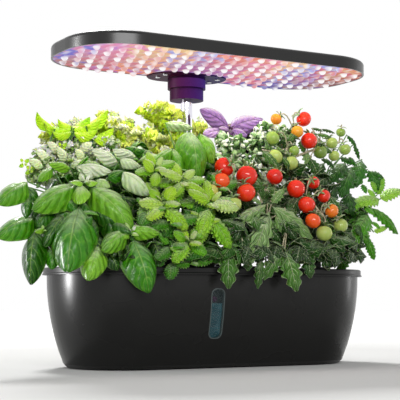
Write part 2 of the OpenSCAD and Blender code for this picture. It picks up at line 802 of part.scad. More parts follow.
module lettuce() color([0.6, 0.75, 0.15]) {
    from_pod([-72, 46], [-96, 50, 262]);
    stalk([-96, 50, 262], [-166, 57, 266], 2);
    crown([
        [-104, 50, 274, 23], [-140, 53, 270, 18], [-170, 58, 268, 15],
        [-70, 48, 276, 18], [-44, 45, 282, 11]
    ]);
    leaf_ring([-104, 50, 290], 6, 8, 24, 22, 20);
    leaf_ring([-140, 53, 284], 5, 6, 22, 16, 18, 15);
    leaf_ring([-172, 58, 276], 5, 6, 22, 14, 16, 36);
    leaf_ring([-70, 48, 288], 5, 6, 20, 20, 16, 36);
    leaf_ring([-44, 43, 286], 4, 4, 14, 18, 12, 45);
}

module purple_basil() color([0.4, 0.24, 0.42]) {
    from_pod([72, 46], [64, 32, 258]);
    crown([[64, 30, 262, 15], [50, 26, 278, 11], [70, 40, 226, 12]]);
    leaves([
        [[46, 24, 284], [-1, 15, 301], 28], [[52, 28, 284], [98, 30, 304], 30],
        [[50, 22, 270], [8, 18, 266], 16], [[66, 38, 270], [84, 56, 290], 26],
        [[60, 24, 252], [82, 14, 256], 20], [[74, 48, 226], [92, 60, 236], 18]
    ]);
}

module thyme() color([0.36, 0.62, 0.2]) {
    from_pod([80, 0], [60, 1, 240]);
    crown([[56, 0, 246, 17], [32, 4, 254, 12], [72, 0, 214, 12]]);
    leaf_ring([56, 0, 256], 5, 8, 26, 12, 12, 18);
    leaf_ring([32, 4, 258], 5, 6, 22, 8, 10);
}

module pepper() color([0.13, 0.32, 0.1]) {
    from_pod([132, 46], [146, 28, 202]);
    crown([[148, 22, 206, 18], [172, 14, 220, 15], [138, 40, 176, 13]]);
    leaves([
        [[168, 4, 216], [222, 0, 234], 36], [[160, 12, 206], [216, -2, 202], 26],
        [[148, 20, 216], [150, 2, 240], 28], [[170, 22, 228], [200, 42, 244], 28],
        [[140, 34, 212], [120, 58, 226], 26], [[146, 44, 176], [170, 56, 184], 22]
    ]);
}

module oregano() color([0.34, 0.54, 0.2]) {
    from_pod([160, 0], [180, -6, 168]);
    crown([[184, -6, 172, 14], [170, -3, 146, 10], [203, -11, 180, 12]]);
    leaves([
        [[208, -10, 184], [278, -12, 203], 12], [[206, -8, 186], [270, -10, 231], 12],
        [[211, -17, 176], [223, -27, 126], 15], [[188, -14, 170], [206, -34, 158], 14],
        [[184, 2, 178], [206, 20, 194], 14], [[164, -2, 144], [150, 12, 138], 12]
    ]);
}

tank_shell();
foot_pads();
window_gasket();
window_lens();
gauge_water();
float_guide();
level_float();
deck_lid();
front_baskets();
middle_baskets();
back_baskets();
grow_sponges();
console_cover();
control_board();
light_pipes();
power_inlet();
console_screws();
pole_socket();
pole_outer();
outer_bush();
pump_hanger();
pump_housing();
pump_coil();
pump_cover();
pump_filter();
riser_tube();
impeller_shaft();
impeller();
rotor_magnet();
flap_pin();
fill_flap();
light_button();
pump_button();
mode_button();
spare_basket();
spare_sponge();
spare_cap();
pole_middle();
middle_bush();
pole_inner();
pole_plug();
hub_sleeve();
hub_flange();
lamp_cover();
lens_panel();
led_board();
heat_spreader();
lamp_driver();
lamp_screws();
basil_left();
basil_centre();
mint();
parsley();
lettuce();
purple_basil();
thyme();
tomato_vine();
tomato_fruit();
pepper();
oregano();
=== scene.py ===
# %% [markdown]
# # A countertop hydroponic garden
# The garden is a black tank of water with a planting deck on it, herbs and tomatoes in the deck's pods, and
# an oval LED lamp over them on a chrome telescopic pole. The hard parts come from the CAD frame and get
# their finishes here. The plants, the fruit, the lamp's small lenses and the foam parts are modelled here.

# %% Load the frame
import math
import random

import bmesh
import bpy
from mathutils import Matrix, Vector


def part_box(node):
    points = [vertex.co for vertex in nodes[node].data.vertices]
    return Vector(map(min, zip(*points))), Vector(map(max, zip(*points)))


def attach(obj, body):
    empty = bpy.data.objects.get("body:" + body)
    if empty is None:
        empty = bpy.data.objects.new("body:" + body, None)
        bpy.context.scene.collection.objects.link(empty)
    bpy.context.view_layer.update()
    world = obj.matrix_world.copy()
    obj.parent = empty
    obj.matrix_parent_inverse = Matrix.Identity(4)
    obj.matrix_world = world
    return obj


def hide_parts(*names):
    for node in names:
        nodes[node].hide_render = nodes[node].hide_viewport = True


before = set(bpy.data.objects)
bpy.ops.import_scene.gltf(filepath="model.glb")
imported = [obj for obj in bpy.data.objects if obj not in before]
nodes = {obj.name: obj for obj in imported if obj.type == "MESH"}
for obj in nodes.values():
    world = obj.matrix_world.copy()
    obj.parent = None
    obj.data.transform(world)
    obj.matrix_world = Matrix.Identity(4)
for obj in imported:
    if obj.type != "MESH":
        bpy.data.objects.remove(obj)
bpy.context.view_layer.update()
bpy.ops.object.select_all(action="DESELECT")

# %% [markdown]
# ## The camera
# The camera stands low in front of the garden's left end and looks slightly up, so the lamp's glowing
# underside shows. It could be aimed by hand, but written values give the same view every time. A long lens
# keeps the tank's sides nearly parallel. The view is a square, and its width is taken as 400 pixels.

# %% Place the camera
CAMERA_AT = Vector((-0.6844, -1.2105, 0.076))
CAMERA_TURN = 0.5079
CAMERA_RISE = 0.0836
VIEW_PX = 400
LENS_PX = 1186.0
SENSOR_MM = 36.0

camera_data = bpy.data.cameras.new("camera")
camera = bpy.data.objects.new("camera", camera_data)
bpy.context.collection.objects.link(camera)
camera.location = CAMERA_AT
camera.rotation_euler = (math.pi / 2 + CAMERA_RISE, 0, -CAMERA_TURN)
camera_data.sensor_width = SENSOR_MM
camera_data.lens = SENSOR_MM * LENS_PX / VIEW_PX
camera_data.clip_start = 0.01
camera_data.clip_end = 30.0
bpy.context.scene.camera = camera
print("lens:", round(camera_data.lens, 1), "mm")

# %% [markdown]
# ## Places in the view
# A big leaf could be placed by coordinates alone, but its tip is easier to aim where the view shows it. A
# pixel gives only a direction, so each place also has a depth: the upright plane that it lies on.

# %% Turn a place in the view into a place on the object
flat = math.cos(CAMERA_RISE)
LOOK = Vector((math.sin(CAMERA_TURN) * flat, math.cos(CAMERA_TURN) * flat, math.sin(CAMERA_RISE)))
RIGHT = Vector((math.cos(CAMERA_TURN), -math.sin(CAMERA_TURN), 0))
UP = RIGHT.cross(LOOK)
TO_CAMERA = Vector((-0.42, -0.88, 0.22)).normalized()


def seen(across, down, depth_mm):
    """The point that falls at (across, down) in the view, on the upright plane y = depth_mm."""
    ray = LOOK + RIGHT * ((across - VIEW_PX / 2) / LENS_PX) - UP * ((down - VIEW_PX / 2) / LENS_PX)
    return CAMERA_AT + ray * ((depth_mm / 1000 - CAMERA_AT.y) / ray.y)


def mm(x, y, z):
    """A place in millimetres, in metres."""
    return Vector((x, y, z)) / 1000


print("middle of the view at y = 0:", [round(c, 3) for c in seen(VIEW_PX / 2, VIEW_PX / 2, 0)])

# %% [markdown]
# ## Finishes
# Every finish starts from what the real material is. Colours are written as sRGB hex values, as a maker
# names them, and turned to the linear values that the shader needs. Nodes could be wired by hand in the
# shader editor. One small function adds them here, so a finish reads as a list of steps.

# %% Colours
def linear(hex_text):
    """An sRGB hex colour as linear RGBA."""
    parts = [int(hex_text[i:i + 2], 16) / 255 for i in (1, 3, 5)]
    return [c / 12.92 if c <= 0.04045 else ((c + 0.055) / 1.055) ** 2.4 for c in parts] + [1.0]


def paler(hex_text, times, more=0.0):
    """A lighter version of a hex colour, as linear RGBA."""
    return [min(1.0, c * times + more) for c in linear(hex_text)[:3]] + [1.0]


# %% Nodes and materials
def add_node(tree, kind, inputs=None, stops=(), **settings):
    """Adds a shader node with its settings, its inputs' values or links, and its ramp's colour stops."""
    made = tree.nodes.new("ShaderNode" + kind)
    for name, value in settings.items():
        setattr(made, name, value)
    for name, value in (inputs or {}).items():
        if isinstance(value, bpy.types.Node):
            value = value.outputs[0]
        if isinstance(value, bpy.types.NodeSocket):
            tree.links.new(value, made.inputs[name])
        else:
            made.inputs[name].default_value = value
    for end in (0, -1) if stops else ():
        made.color_ramp.elements[end].position, made.color_ramp.elements[end].color = stops[end]
    for at, colour in stops[1:-1]:
        made.color_ramp.elements.new(at).color = colour
    return made


def start_finish(name, sockets):
    """A new material, its node tree, and its shader with these socket values."""
    finish = bpy.data.materials.new(name)
    finish.use_nodes = True
    tree = finish.node_tree
    tree.nodes.clear()
    shader = add_node(tree, "BsdfPrincipled", {"IOR": 1.5} | sockets)
    add_node(tree, "OutputMaterial", {"Surface": shader})
    return finish, tree, shader


def put_on(finish, *names):
    """Gives CAD nodes this finish in all their material slots."""
    for name in names:
        slots = nodes[name].material_slots
        if not slots:
            nodes[name].data.materials.append(finish)
        for slot in slots:
            slot.material = finish


# %% [markdown]
# ### Moulded plastics
# The tank and the deck are injection-moulded ABS. A polished mould gives the tank a soft gloss, and a
# spark-eroded mould gives the deck, pods and console a fine grain. The grain could be an image wrapped round
# each part, but a noise bump needs no image and shows no seam. A slow noise makes the gloss uneven, as
# handled plastic is.

# %% Moulded plastic
def moulded_plastic(name, colour, roughness, grain_mm, grain_depth_mm, uneven=0.06, shine=0.5):
    """Plastic with a mould's grain, whose tone and gloss change slowly from place to place."""
    finish, tree, shader = start_finish(name, {"Roughness": roughness, "Specular IOR Level": shine})
    place = add_node(tree, "TexCoord").outputs["Object"]
    slow = add_node(tree, "TexNoise", {"Vector": place, "Scale": 14.0, "Detail": 3.0})
    gloss = add_node(tree, "MapRange", {"Value": slow, "To Min": roughness - uneven,
                                        "To Max": roughness + uneven})
    tree.links.new(gloss.outputs[0], shader.inputs["Roughness"])
    tone = add_node(tree, "Mix", {0: slow, 6: linear(colour), 7: paler(colour, 1.35)}, data_type="RGBA")
    tree.links.new(tone.outputs[2], shader.inputs["Base Color"])
    grain = add_node(tree, "TexNoise", {"Vector": place, "Scale": 1000 / grain_mm, "Detail": 2.0})
    bump = add_node(tree, "Bump", {"Height": grain, "Distance": grain_depth_mm / 1000, "Strength": 0.6})
    tree.links.new(bump.outputs[0], shader.inputs["Normal"])
    return finish


# The tank's polished mould leaves broad, soft streaks of light on its wall.
tank_abs = moulded_plastic("polished_black_abs", "#161615", 0.27, 3.0, 0.015, shine=0.22)
# Satin: the deck and the console show only dim reflections.
deck_abs = moulded_plastic("satin_black_abs", "#131312", 0.36, 1.6, 0.03, shine=0.22)
# A coarser grain, nearly matt, on pods and fittings.
pod_abs = moulded_plastic("grained_black_abs", "#141413", 0.5, 1.2, 0.04, shine=0.3)
# Gloss: the lamp's rim has the clearest highlights of the plastics.
lamp_abs = moulded_plastic("gloss_black_abs", "#0b0b0a", 0.28, 4.0, 0.006, 0.02, shine=0.42)
# The hub and the float are black ABS with painted violet LED light in their colour, and dull, so it shows.
hub_painted_light_abs = moulded_plastic("black_abs_painted_violet_light", "#24103c", 0.45, 5.0, 0.004, 0.03, shine=0.03)
# Keys are a soft grey with a fine grain, and rubber is the dullest.
key_abs = moulded_plastic("soft_touch_keys", "#3a3a39", 0.5, 1.2, 0.03)
foot_rubber = moulded_plastic("moulded_nitrile_rubber", "#191918", 0.72, 1.0, 0.05)
# Silicone and acetal are milky and smooth, and ferrite is dark grey with a ceramic's fine pits.
gasket_silicone = moulded_plastic("moulded_clear_silicone", "#46504f", 0.4, 1.0, 0.02)
riser_silicone = moulded_plastic("extruded_silicone", "#c9cfce", 0.4, 2.0, 0.01)
impeller_acetal = moulded_plastic("moulded_acetal", "#dcdcd4", 0.38, 2.0, 0.01)
ferrite = moulded_plastic("sintered_ferrite", "#2c2b2d", 0.6, 0.9, 0.05)
print("materials so far:", len(bpy.data.materials))

# %% [markdown]
# The hub's colour is painted light: a painted reflection of the coloured LEDs that runs from plum at its left
# to indigo at its right. The lamp's rim is polished and its top has a grain. That could be two materials, but
# the cover is one piece, so its normal tells the top from the rim.

# %% The hub's painted LED light and the lamp's grained top
hub_tree = hub_painted_light_abs.node_tree
hub_across = add_node(hub_tree, "SeparateXYZ", {"Vector": add_node(hub_tree, "TexCoord").outputs["Object"]})
hub_across = add_node(hub_tree, "MapRange", {"Value": hub_across, "From Min": -0.022, "From Max": 0.024})
# Painted light: the hub's colour runs from plum to indigo across it, as the LEDs' coloured light would fall
# on it.
hub_painted_led_light = add_node(hub_tree, "Mix", {0: hub_across, 6: linear("#3e1036"), 7: linear("#24165e")},
                   data_type="RGBA")
hub_tree.links.new(hub_painted_led_light.outputs[2], hub_tree.nodes["Principled BSDF"].inputs["Base Color"])

lamp_tree = lamp_abs.node_tree
lamp_normal = add_node(lamp_tree, "NewGeometry").outputs["Normal"]
lamp_face = add_node(lamp_tree, "SeparateXYZ", {"Vector": lamp_normal})
lamp_grain = add_node(lamp_tree, "MapRange", {"Value": lamp_face.outputs[2], "From Min": 0.8,
                                              "From Max": 0.98, "To Min": 0.28, "To Max": 0.62})
lamp_tree.links.new(lamp_grain.outputs[0], lamp_tree.nodes["Principled BSDF"].inputs["Roughness"])

# %% Put the plastics on
put_on(tank_abs, "tank_shell")
put_on(deck_abs, "deck_lid", "console_cover", "pole_socket", "fill_flap")
put_on(pod_abs, "front_baskets", "middle_baskets", "back_baskets", "spare_basket", "spare_cap", "float_guide",
       "power_inlet", "outer_bush", "middle_bush", "pump_hanger", "pump_housing", "pump_cover")
put_on(lamp_abs, "lamp_cover")
put_on(hub_painted_light_abs, "hub_sleeve", "hub_flange", "level_float")
put_on(key_abs, "light_button", "pump_button", "mode_button")
put_on(foot_rubber, "foot_pads")
put_on(gasket_silicone, "window_gasket")
put_on(riser_silicone, "riser_tube")
put_on(impeller_acetal, "impeller")
put_on(ferrite, "rotor_magnet")
print("ABS finishes:", len([m for m in bpy.data.materials if "_abs" in m.name]))

# %% [markdown]
# ### Metals
# The pole is chrome-plated steel tube, so it is nearly a mirror with faint drawn lines along it. The lamp's
# heat spreader is rolled aluminium, the screws are zinc-plated, and the winding is enamelled copper wire.
# Plain mirrors would look like glass, so a noise that is stretched along each metal's lines changes its
# gloss.

# %% Metals
def metal(name, colour, roughness, line_mm, stretch):
    """Metal with lines in its gloss: stretch below 1 draws them out upwards, and above 1 packs them."""
    finish, tree, shader = start_finish(name, {"Metallic": 1.0, "Base Color": linear(colour)})
    drawn = add_node(tree, "Mapping", {"Vector": add_node(tree, "TexCoord").outputs["Object"],
                                       "Scale": (1, 1, stretch)})
    lines = add_node(tree, "TexNoise", {"Vector": drawn, "Scale": 1000 / line_mm, "Detail": 2.0})
    gloss = add_node(tree, "MapRange", {"Value": lines, "To Min": roughness * 0.6, "To Max": roughness * 1.5})
    tree.links.new(gloss.outputs[0], shader.inputs["Roughness"])
    return finish


# Chrome mirrors the studio, aluminium and zinc have a soft grey sheen, and brass and copper are warm.
chrome = metal("polished_chrome_plate", "#e4e2ec", 0.06, 0.8, 0.02)
rolled_aluminium = metal("rolled_aluminium", "#c9cacd", 0.3, 1.0, 1.0)
zinc_plate = metal("zinc_plated_steel", "#b9babd", 0.28, 0.8, 1.0)
turned_brass = metal("turned_brass", "#c8a75c", 0.22, 0.5, 8.0)
copper_wire = metal("enamelled_copper_wire", "#b06a35", 0.3, 1.0, 12.0)

put_on(chrome, "pole_outer", "pole_middle", "pole_inner")
put_on(rolled_aluminium, "heat_spreader")
put_on(zinc_plate, "console_screws", "lamp_screws", "flap_pin", "impeller_shaft")
put_on(turned_brass, "pole_plug")
put_on(copper_wire, "pump_coil")
print("materials so far:", len(bpy.data.materials))

# %% [markdown]
# ### Circuit boards, lens and water
# The boards have a solder resist with faint tracks under it. The level window is clear polycarbonate, and the
# water behind it is tinted by nutrient, so it reads blue-green against the black tank. The water could be lit
# through the window, but that needs many more light bounces, so it glows faintly by itself.

# %% Boards
def solder_resist(name, colour, track):
    """Lacquer with a board's tracks faintly under it."""
    finish, tree, shader = start_finish(name, {"Roughness": 0.32})
    tracks = add_node(tree, "TexBrick", {
        "Vector": add_node(tree, "TexCoord").outputs["Object"], "Scale": 90.0, "Mortar Size": 0.03,
        "Color1": linear(colour), "Color2": linear(colour), "Mortar": linear(track)})
    tree.links.new(tracks.outputs["Color"], shader.inputs["Base Color"])
    return finish


# Green and shiny on the driver boards, and white under the LEDs to throw their light down.
board_resist = solder_resist("green_solder_resist", "#1d5a35", "#4a7f45")
led_resist = solder_resist("white_solder_resist", "#e6e2da", "#c9c4b4")
put_on(board_resist, "control_board", "lamp_driver")
put_on(led_resist, "led_board")
print("boards:", board_resist.name, led_resist.name)

# %% Window, light pipes and water
def clear_plastic(name, colour, roughness, alpha, glow=0.0):
    """A clear or milky material with slight clouds in its tint."""
    finish, tree, shader = start_finish(name, {"Roughness": roughness, "Alpha": alpha})
    slow = add_node(tree, "TexNoise", {"Vector": add_node(tree, "TexCoord").outputs["Object"], "Scale": 120.0,
                                       "Detail": 3.0})
    shades = ((0.35, linear(colour)), (0.7, paler(colour, 1.6, 0.01)))
    clouds = add_node(tree, "ValToRGB", {"Fac": slow}, stops=shades)
    tree.links.new(clouds.outputs[0], shader.inputs["Base Color"])
    if glow:
        tree.links.new(clouds.outputs[0], shader.inputs["Emission Color"])
        shader.inputs["Emission Strength"].default_value = glow
    return finish


# The window is nearly unseen but for its gloss, the pipes are frosted, and the water is a deep teal.
window_clear = clear_plastic("clear_polycarbonate", "#4c5c5e", 0.1, 0.12)
pipe_clear = clear_plastic("frosted_acrylic", "#dfe8e6", 0.3, 0.9)
nutrient_water = clear_plastic("nutrient_water", "#06363e", 0.15, 1.0, 0.14)
put_on(window_clear, "window_lens")
put_on(pipe_clear, "light_pipes")
put_on(nutrient_water, "gauge_water")
print("clear finishes:", window_clear.name, pipe_clear.name, nutrient_water.name)

# %% [markdown]
# ### Foams
# The pods hold plugs of peat foam, and the pump breathes through open-cell polyurethane. Both are full of
# pores, which are far too many to model, so a cell pattern about as wide as a pore gives them their bump and
# their dark specks.

# %% Foams
def open_foam(name, colour, pore, pore_mm):
    """Foam whose pores are the dark middles of a cell pattern."""
    finish, tree, shader = start_finish(name, {"Roughness": 0.95})
    cells = add_node(tree, "TexVoronoi", {"Vector": add_node(tree, "TexCoord").outputs["Object"],
                                          "Scale": 1000 / pore_mm}).outputs["Distance"]
    shade = add_node(tree, "ValToRGB", {"Fac": cells}, stops=((0.0, linear(pore)), (0.55, linear(colour))))
    tree.links.new(shade.outputs[0], shader.inputs["Base Color"])
    bump = add_node(tree, "Bump", {"Height": cells, "Distance": 0.0006, "Strength": 0.8})
    tree.links.new(bump.outputs[0], shader.inputs["Normal"])
    return finish


# Peat looks like dark, crumbly earth, and the pump's foam like a grey sponge.
peat_foam = open_foam("peat_foam", "#5d4430", "#1d130b", 1.4)
filter_foam = open_foam("reticulated_polyurethane", "#4c4f4d", "#121312", 1.6)
print("foams:", peat_foam.name, filter_foam.name)

# %% [markdown]
# ## The lamp's light
# Under the lamp a milky sheet covers the LED board, and each LED has a small domed lens. Colour LEDs stand in
# groups, so the sheet glows in patches of blue, magenta, red, orange and white. Each LED could be a lamp of
# its own, but a glowing material is calmer and quicker. Two colour ramps along the sheet, one at its front
# edge and one at its back, give the groups, and a noise moves their borders about.

# %% Colours of the LED groups
NEAR_GLOW = (
    (0.0, "#7464d8"), (0.06, "#f08cd4"), (0.17, "#f088b4"), (0.22, "#fad87c"), (0.29, "#f4b47c"),
    (0.38, "#94a4f4"), (0.46, "#f0683c"), (0.55, "#f48044"), (0.64, "#f48cb8"), (0.7, "#f8c878"),
    (0.78, "#8ca0f4"), (0.85, "#e83838"), (0.91, "#f0b464"), (0.96, "#e85c1c"), (1.0, "#941c10"),
)
FAR_GLOW = (
    (0.0, "#4c40b8"), (0.08, "#8c6028"), (0.17, "#c42c1c"), (0.24, "#a428b4"), (0.3, "#f07418"),
    (0.4, "#a00824"), (0.48, "#3424d0"), (0.57, "#5818b0"), (0.62, "#c41478"), (0.7, "#d84860"),
    (0.78, "#140ca0"), (0.9, "#100894"), (0.96, "#8c3818"), (1.0, "#680808"),
)
SHEET_HALF_LENGTH = 0.19
SHEET_HALF_WIDTH = 0.078
LAMP_MIDDLE_Y = -0.012
LENS_PITCH = 0.0155
LENS_ROW = 0.0235


def group_colour(tree, place, split):
    """The colour of the LED group at each place on the sheet."""
    wander = add_node(tree, "TexNoise", {"Vector": place, "Scale": 52.0, "Detail": 1.0})
    shift = add_node(tree, "MapRange", {"Value": wander, "From Min": 0.3, "From Max": 0.7, "To Min": -0.1,
                                        "To Max": 0.1})
    along = add_node(tree, "MapRange", {"Value": split, "From Min": -SHEET_HALF_LENGTH,
                                        "From Max": SHEET_HALF_LENGTH})
    moved = add_node(tree, "Math", {0: along, 1: shift}, operation="ADD")
    back = add_node(tree, "MapRange", {"Value": split.outputs[1],
                                       "From Min": LAMP_MIDDLE_Y - SHEET_HALF_WIDTH,
                                       "From Max": LAMP_MIDDLE_Y + SHEET_HALF_WIDTH})
    ramps = [add_node(tree, "ValToRGB", {"Fac": moved}, stops=[(at, linear(colour)) for at, colour in glow])
             for glow in (NEAR_GLOW, FAR_GLOW)]
    return add_node(tree, "Mix", {0: back, 6: ramps[0], 7: ramps[1]}, data_type="RGBA").outputs[2]


def led_grid(tree, split):
    """1 at each LED of the staggered grid, and -1 midway between them."""
    column = add_node(tree, "Math", {0: split, 1: 2 * math.pi / LENS_PITCH}, operation="MULTIPLY")
    column = add_node(tree, "Math", {0: column}, operation="COSINE")
    row = add_node(tree, "Math", {0: split.outputs[1], 1: -LAMP_MIDDLE_Y}, operation="ADD")
    row = add_node(tree, "Math", {0: row, 1: math.pi / LENS_ROW}, operation="MULTIPLY")
    row = add_node(tree, "Math", {0: row}, operation="COSINE")
    return add_node(tree, "Math", {0: column, 1: row}, operation="MULTIPLY")


print("glow stops:", len(NEAR_GLOW), "front,", len(FAR_GLOW), "back")

# %% [markdown]
# The sheet is whiter round each LED. A domed lens is whiter towards its tip, which its normal finds, and some
# lenses are whiter than others, as white LEDs stand among the coloured ones.

# %% The sheet and the lenses
def glowing(name, whiteness, halo, strength, roughness, domed=False):
    """A lit part of the lamp: its groups' colours, mixed with white by up to whiteness + halo."""
    finish, tree, shader = start_finish(name, {
        "Roughness": roughness, "Base Color": linear("#38343c"), "Specular IOR Level": 0.02,
        "Emission Strength": strength})
    place = add_node(tree, "TexCoord").outputs["Object"]
    split = add_node(tree, "SeparateXYZ", {"Vector": place})
    if domed:
        mixed_leds = add_node(tree, "TexNoise", {"Vector": place, "Scale": 85.0, "Detail": 0.0})
        brightest = add_node(tree, "MapRange", {"Value": mixed_leds, "From Min": 0.35, "From Max": 0.6,
                                                "To Min": whiteness, "To Max": whiteness + halo})
        normal = add_node(tree, "NewGeometry").outputs["Normal"]
        near, low, high = add_node(tree, "SeparateXYZ", {"Vector": normal}).outputs[2], 0.1, -0.5
    else:
        brightest = whiteness + halo
        near, low, high = led_grid(tree, split), -0.35, 0.95
    white = add_node(tree, "MapRange", {"Value": near, "From Min": low, "From Max": high, "To Min": whiteness,
                                        "To Max": brightest}, interpolation_type="SMOOTHSTEP")
    groups = group_colour(tree, place, split)
    lit = add_node(tree, "Mix", {0: white, 6: groups, 7: (1, 1, 1, 1)}, data_type="RGBA")
    tree.links.new(lit.outputs[2], shader.inputs["Emission Color"])
    return finish


# The opal sheet glows in soft patches, and the lenses are bright points on it.
milky_sheet = glowing("opal_polycarbonate", 0.08, 0.42, 0.84, 0.5)
lens_glow = glowing("lit_led_lenses", 0.26, 0.7, 0.98, 0.3, domed=True)
put_on(milky_sheet, "lens_panel")
print("lit finishes:", milky_sheet.name, lens_glow.name)

# %% [markdown]
# ## Tools for modelling
# Each new piece starts from a primitive and is shaped with edit-mode operators. These helpers clear the
# selection, pick vertices by their place, apply modifiers, and join and copy meshes.

# %% Selecting and shaping
def begin():
    """Deselects everything and works on vertices, because an operator acts on all that is selected."""
    bpy.ops.object.select_all(action="DESELECT")
    bpy.context.tool_settings.mesh_select_mode = (True, False, False)


def pick(piece, test):
    """In edit mode, selects the vertices whose place passes the test."""
    mesh = bmesh.from_edit_mesh(piece.data)
    for vert in mesh.verts:
        vert.select_set(bool(test(vert.co)))
    mesh.select_flush_mode()
    bmesh.update_edit_mesh(piece.data)


def apply_modifier(piece, kind, **settings):
    """Adds a modifier and makes its result the mesh."""
    modifier = piece.modifiers.new(kind.lower(), kind)
    for name, value in settings.items():
        setattr(modifier, name, value)
    bpy.context.view_layer.objects.active = piece
    bpy.ops.object.modifier_apply(modifier=modifier.name)


# %% Joining, copying and attaching
def join(pieces, name):
    """Joins objects into one piece with the given name."""
    begin()
    for piece in pieces:
        piece.select_set(True)
    bpy.context.view_layer.objects.active = pieces[0]
    bpy.ops.object.join()
    whole = bpy.context.object
    whole.name = whole.data.name = name
    return whole


def copy_of(master, matrix, name):
    """A copy of a master with its own mesh, moved by a matrix."""
    mesh = master.data.copy()
    mesh.transform(matrix)
    made = bpy.data.objects.new(name, mesh)
    bpy.context.collection.objects.link(made)
    return made


def mark(piece, name, value):
    """Writes one number on all of a piece's points, for its finish to read."""
    marks = piece.data.attributes.new(name, "FLOAT", "POINT")
    marks.data.foreach_set("value", [value] * len(piece.data.vertices))


def settle(piece, body, slot, *stands_for):
    """Attaches a finished piece to the body it rides on and hides the CAD nodes it stands for; the slot is
    not used.
    """
    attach(piece, body)
    if stands_for:
        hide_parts(*stands_for)
    print(piece.name, "faces:", len(piece.data.polygons))


# %% [markdown]
# ## LED lenses
# Each lens is a small dome of clear silicone. It could be a bump in the sheet's material, but the domes stand
# out of the lamp's lower edge, so one is cut from a sphere and copied on a staggered grid.

# %% One lens
LENS_RADIUS = 0.0042
PANEL_Z = 0.3472

begin()
bpy.ops.mesh.primitive_uv_sphere_add(segments=12, ring_count=8, radius=LENS_RADIUS)
lens = bpy.context.object
bpy.ops.object.mode_set(mode="EDIT")
bpy.ops.mesh.select_all(action="SELECT")
bpy.ops.mesh.bisect(plane_co=(0, 0, 0), plane_no=(0, 0, 1), use_fill=True, clear_outer=True)
bpy.ops.mesh.select_all(action="SELECT")
bpy.ops.transform.resize(value=(1, 1, 0.95))
bpy.ops.object.mode_set(mode="OBJECT")
bpy.ops.object.shade_smooth_by_angle(angle=math.radians(60))
lens.data.materials.append(lens_glow)
print("one lens:", len(lens.data.polygons), "faces")

# %% Lenses on the grid
LAMP_HALF_LENGTH = 0.1935
LAMP_HALF_WIDTH = 0.08
LAMP_CORNER = 0.066
LENS_REACH = 0.0575
POLE_Y = 0.053
HUB_ROOM = (0.056, 0.037)
HALF_STRAIGHT = (LAMP_HALF_LENGTH - LAMP_CORNER, LAMP_HALF_WIDTH - LAMP_CORNER)

lenses = []
for row in range(-3, 4):
    for column in range(-13, 14):
        x = (column + 0.5 * (row % 2)) * LENS_PITCH
        y = row * LENS_ROW
        past = Vector((max(0, abs(x) - HALF_STRAIGHT[0]), max(0, abs(y) - HALF_STRAIGHT[1]))).length
        from_pole = Vector((x, y + LAMP_MIDDLE_Y - POLE_Y))
        at_hub = abs(from_pole.x) < HUB_ROOM[0] and abs(from_pole.y) < HUB_ROOM[1]
        if past <= LENS_REACH and not at_hub:
            lenses.append(copy_of(lens, Matrix.Translation((x, y + LAMP_MIDDLE_Y, PANEL_Z)), "lens"))
bpy.data.objects.remove(lens)
print("lenses:", len(lenses))
led_lenses = join(lenses, "led_lenses")
settle(led_lenses, "lamp", "led_panel")

# %% [markdown]
# ## Peat plugs and the pump's foam
# A plug is a tapered cylinder with a hole for the seed. The pump's foam is a thick ring. It could be cut
# from a cylinder by a second one, but bridging two circles gives clean faces. Both get soft edges, because
# foam has no sharp corner.

# %% One plug
PLUG_TOP = 0.109
PLUG_DEPTH = 0.038

begin()
bpy.ops.mesh.primitive_cylinder_add(vertices=20, radius=0.0133, depth=PLUG_DEPTH,
                                    location=(0, 0, PLUG_TOP - PLUG_DEPTH / 2))
plug = bpy.context.object
bpy.ops.object.transform_apply(location=True)
bpy.ops.object.mode_set(mode="EDIT")
pick(plug, lambda p: p.z < PLUG_TOP - 0.03)
bpy.ops.transform.resize(value=(0.8, 0.8, 1))
pick(plug, lambda p: p.z > PLUG_TOP - 0.001)
bpy.ops.mesh.inset(thickness=0.0012, depth=0)
bpy.ops.transform.translate(value=(0, 0, 0.0006))
bpy.ops.mesh.inset(thickness=0.0085, depth=0)
bpy.ops.mesh.inset(thickness=0.0008, depth=-0.006)
bpy.ops.object.mode_set(mode="OBJECT")
apply_modifier(plug, "BEVEL", width=0.0006, segments=2)
bpy.ops.object.shade_smooth_by_angle(angle=math.radians(40))
plug.data.materials.append(peat_foam)
print("one plug:", len(plug.data.polygons), "faces")

# %% Plugs in their pods
POD_PLACES = ((-120, -46), (-40, -46), (40, -46), (-160, 0), (-80, 0), (80, 0), (160, 0),
              (-132, 46), (-72, 46), (72, 46), (132, 46))
SPARE_POD = (120, -46)
plugs = join([copy_of(plug, Matrix.Translation(mm(x, y, 0)), "plug") for x, y in POD_PLACES], "peat_plugs")
settle(plugs, "deck", "peat_sponge", "grow_sponges")
spare_plug = copy_of(plug, Matrix.Translation(mm(*SPARE_POD, 0)), "spare_plug")
settle(spare_plug, "spare_pod", "peat_sponge", "spare_sponge")
bpy.data.objects.remove(plug)

# %% The pump's foam ring
FOAM_LOW, FOAM_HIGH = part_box("pump_filter")
FOAM_RADII = (0.0065, 0.0208)
PUMP_Y = 0.005

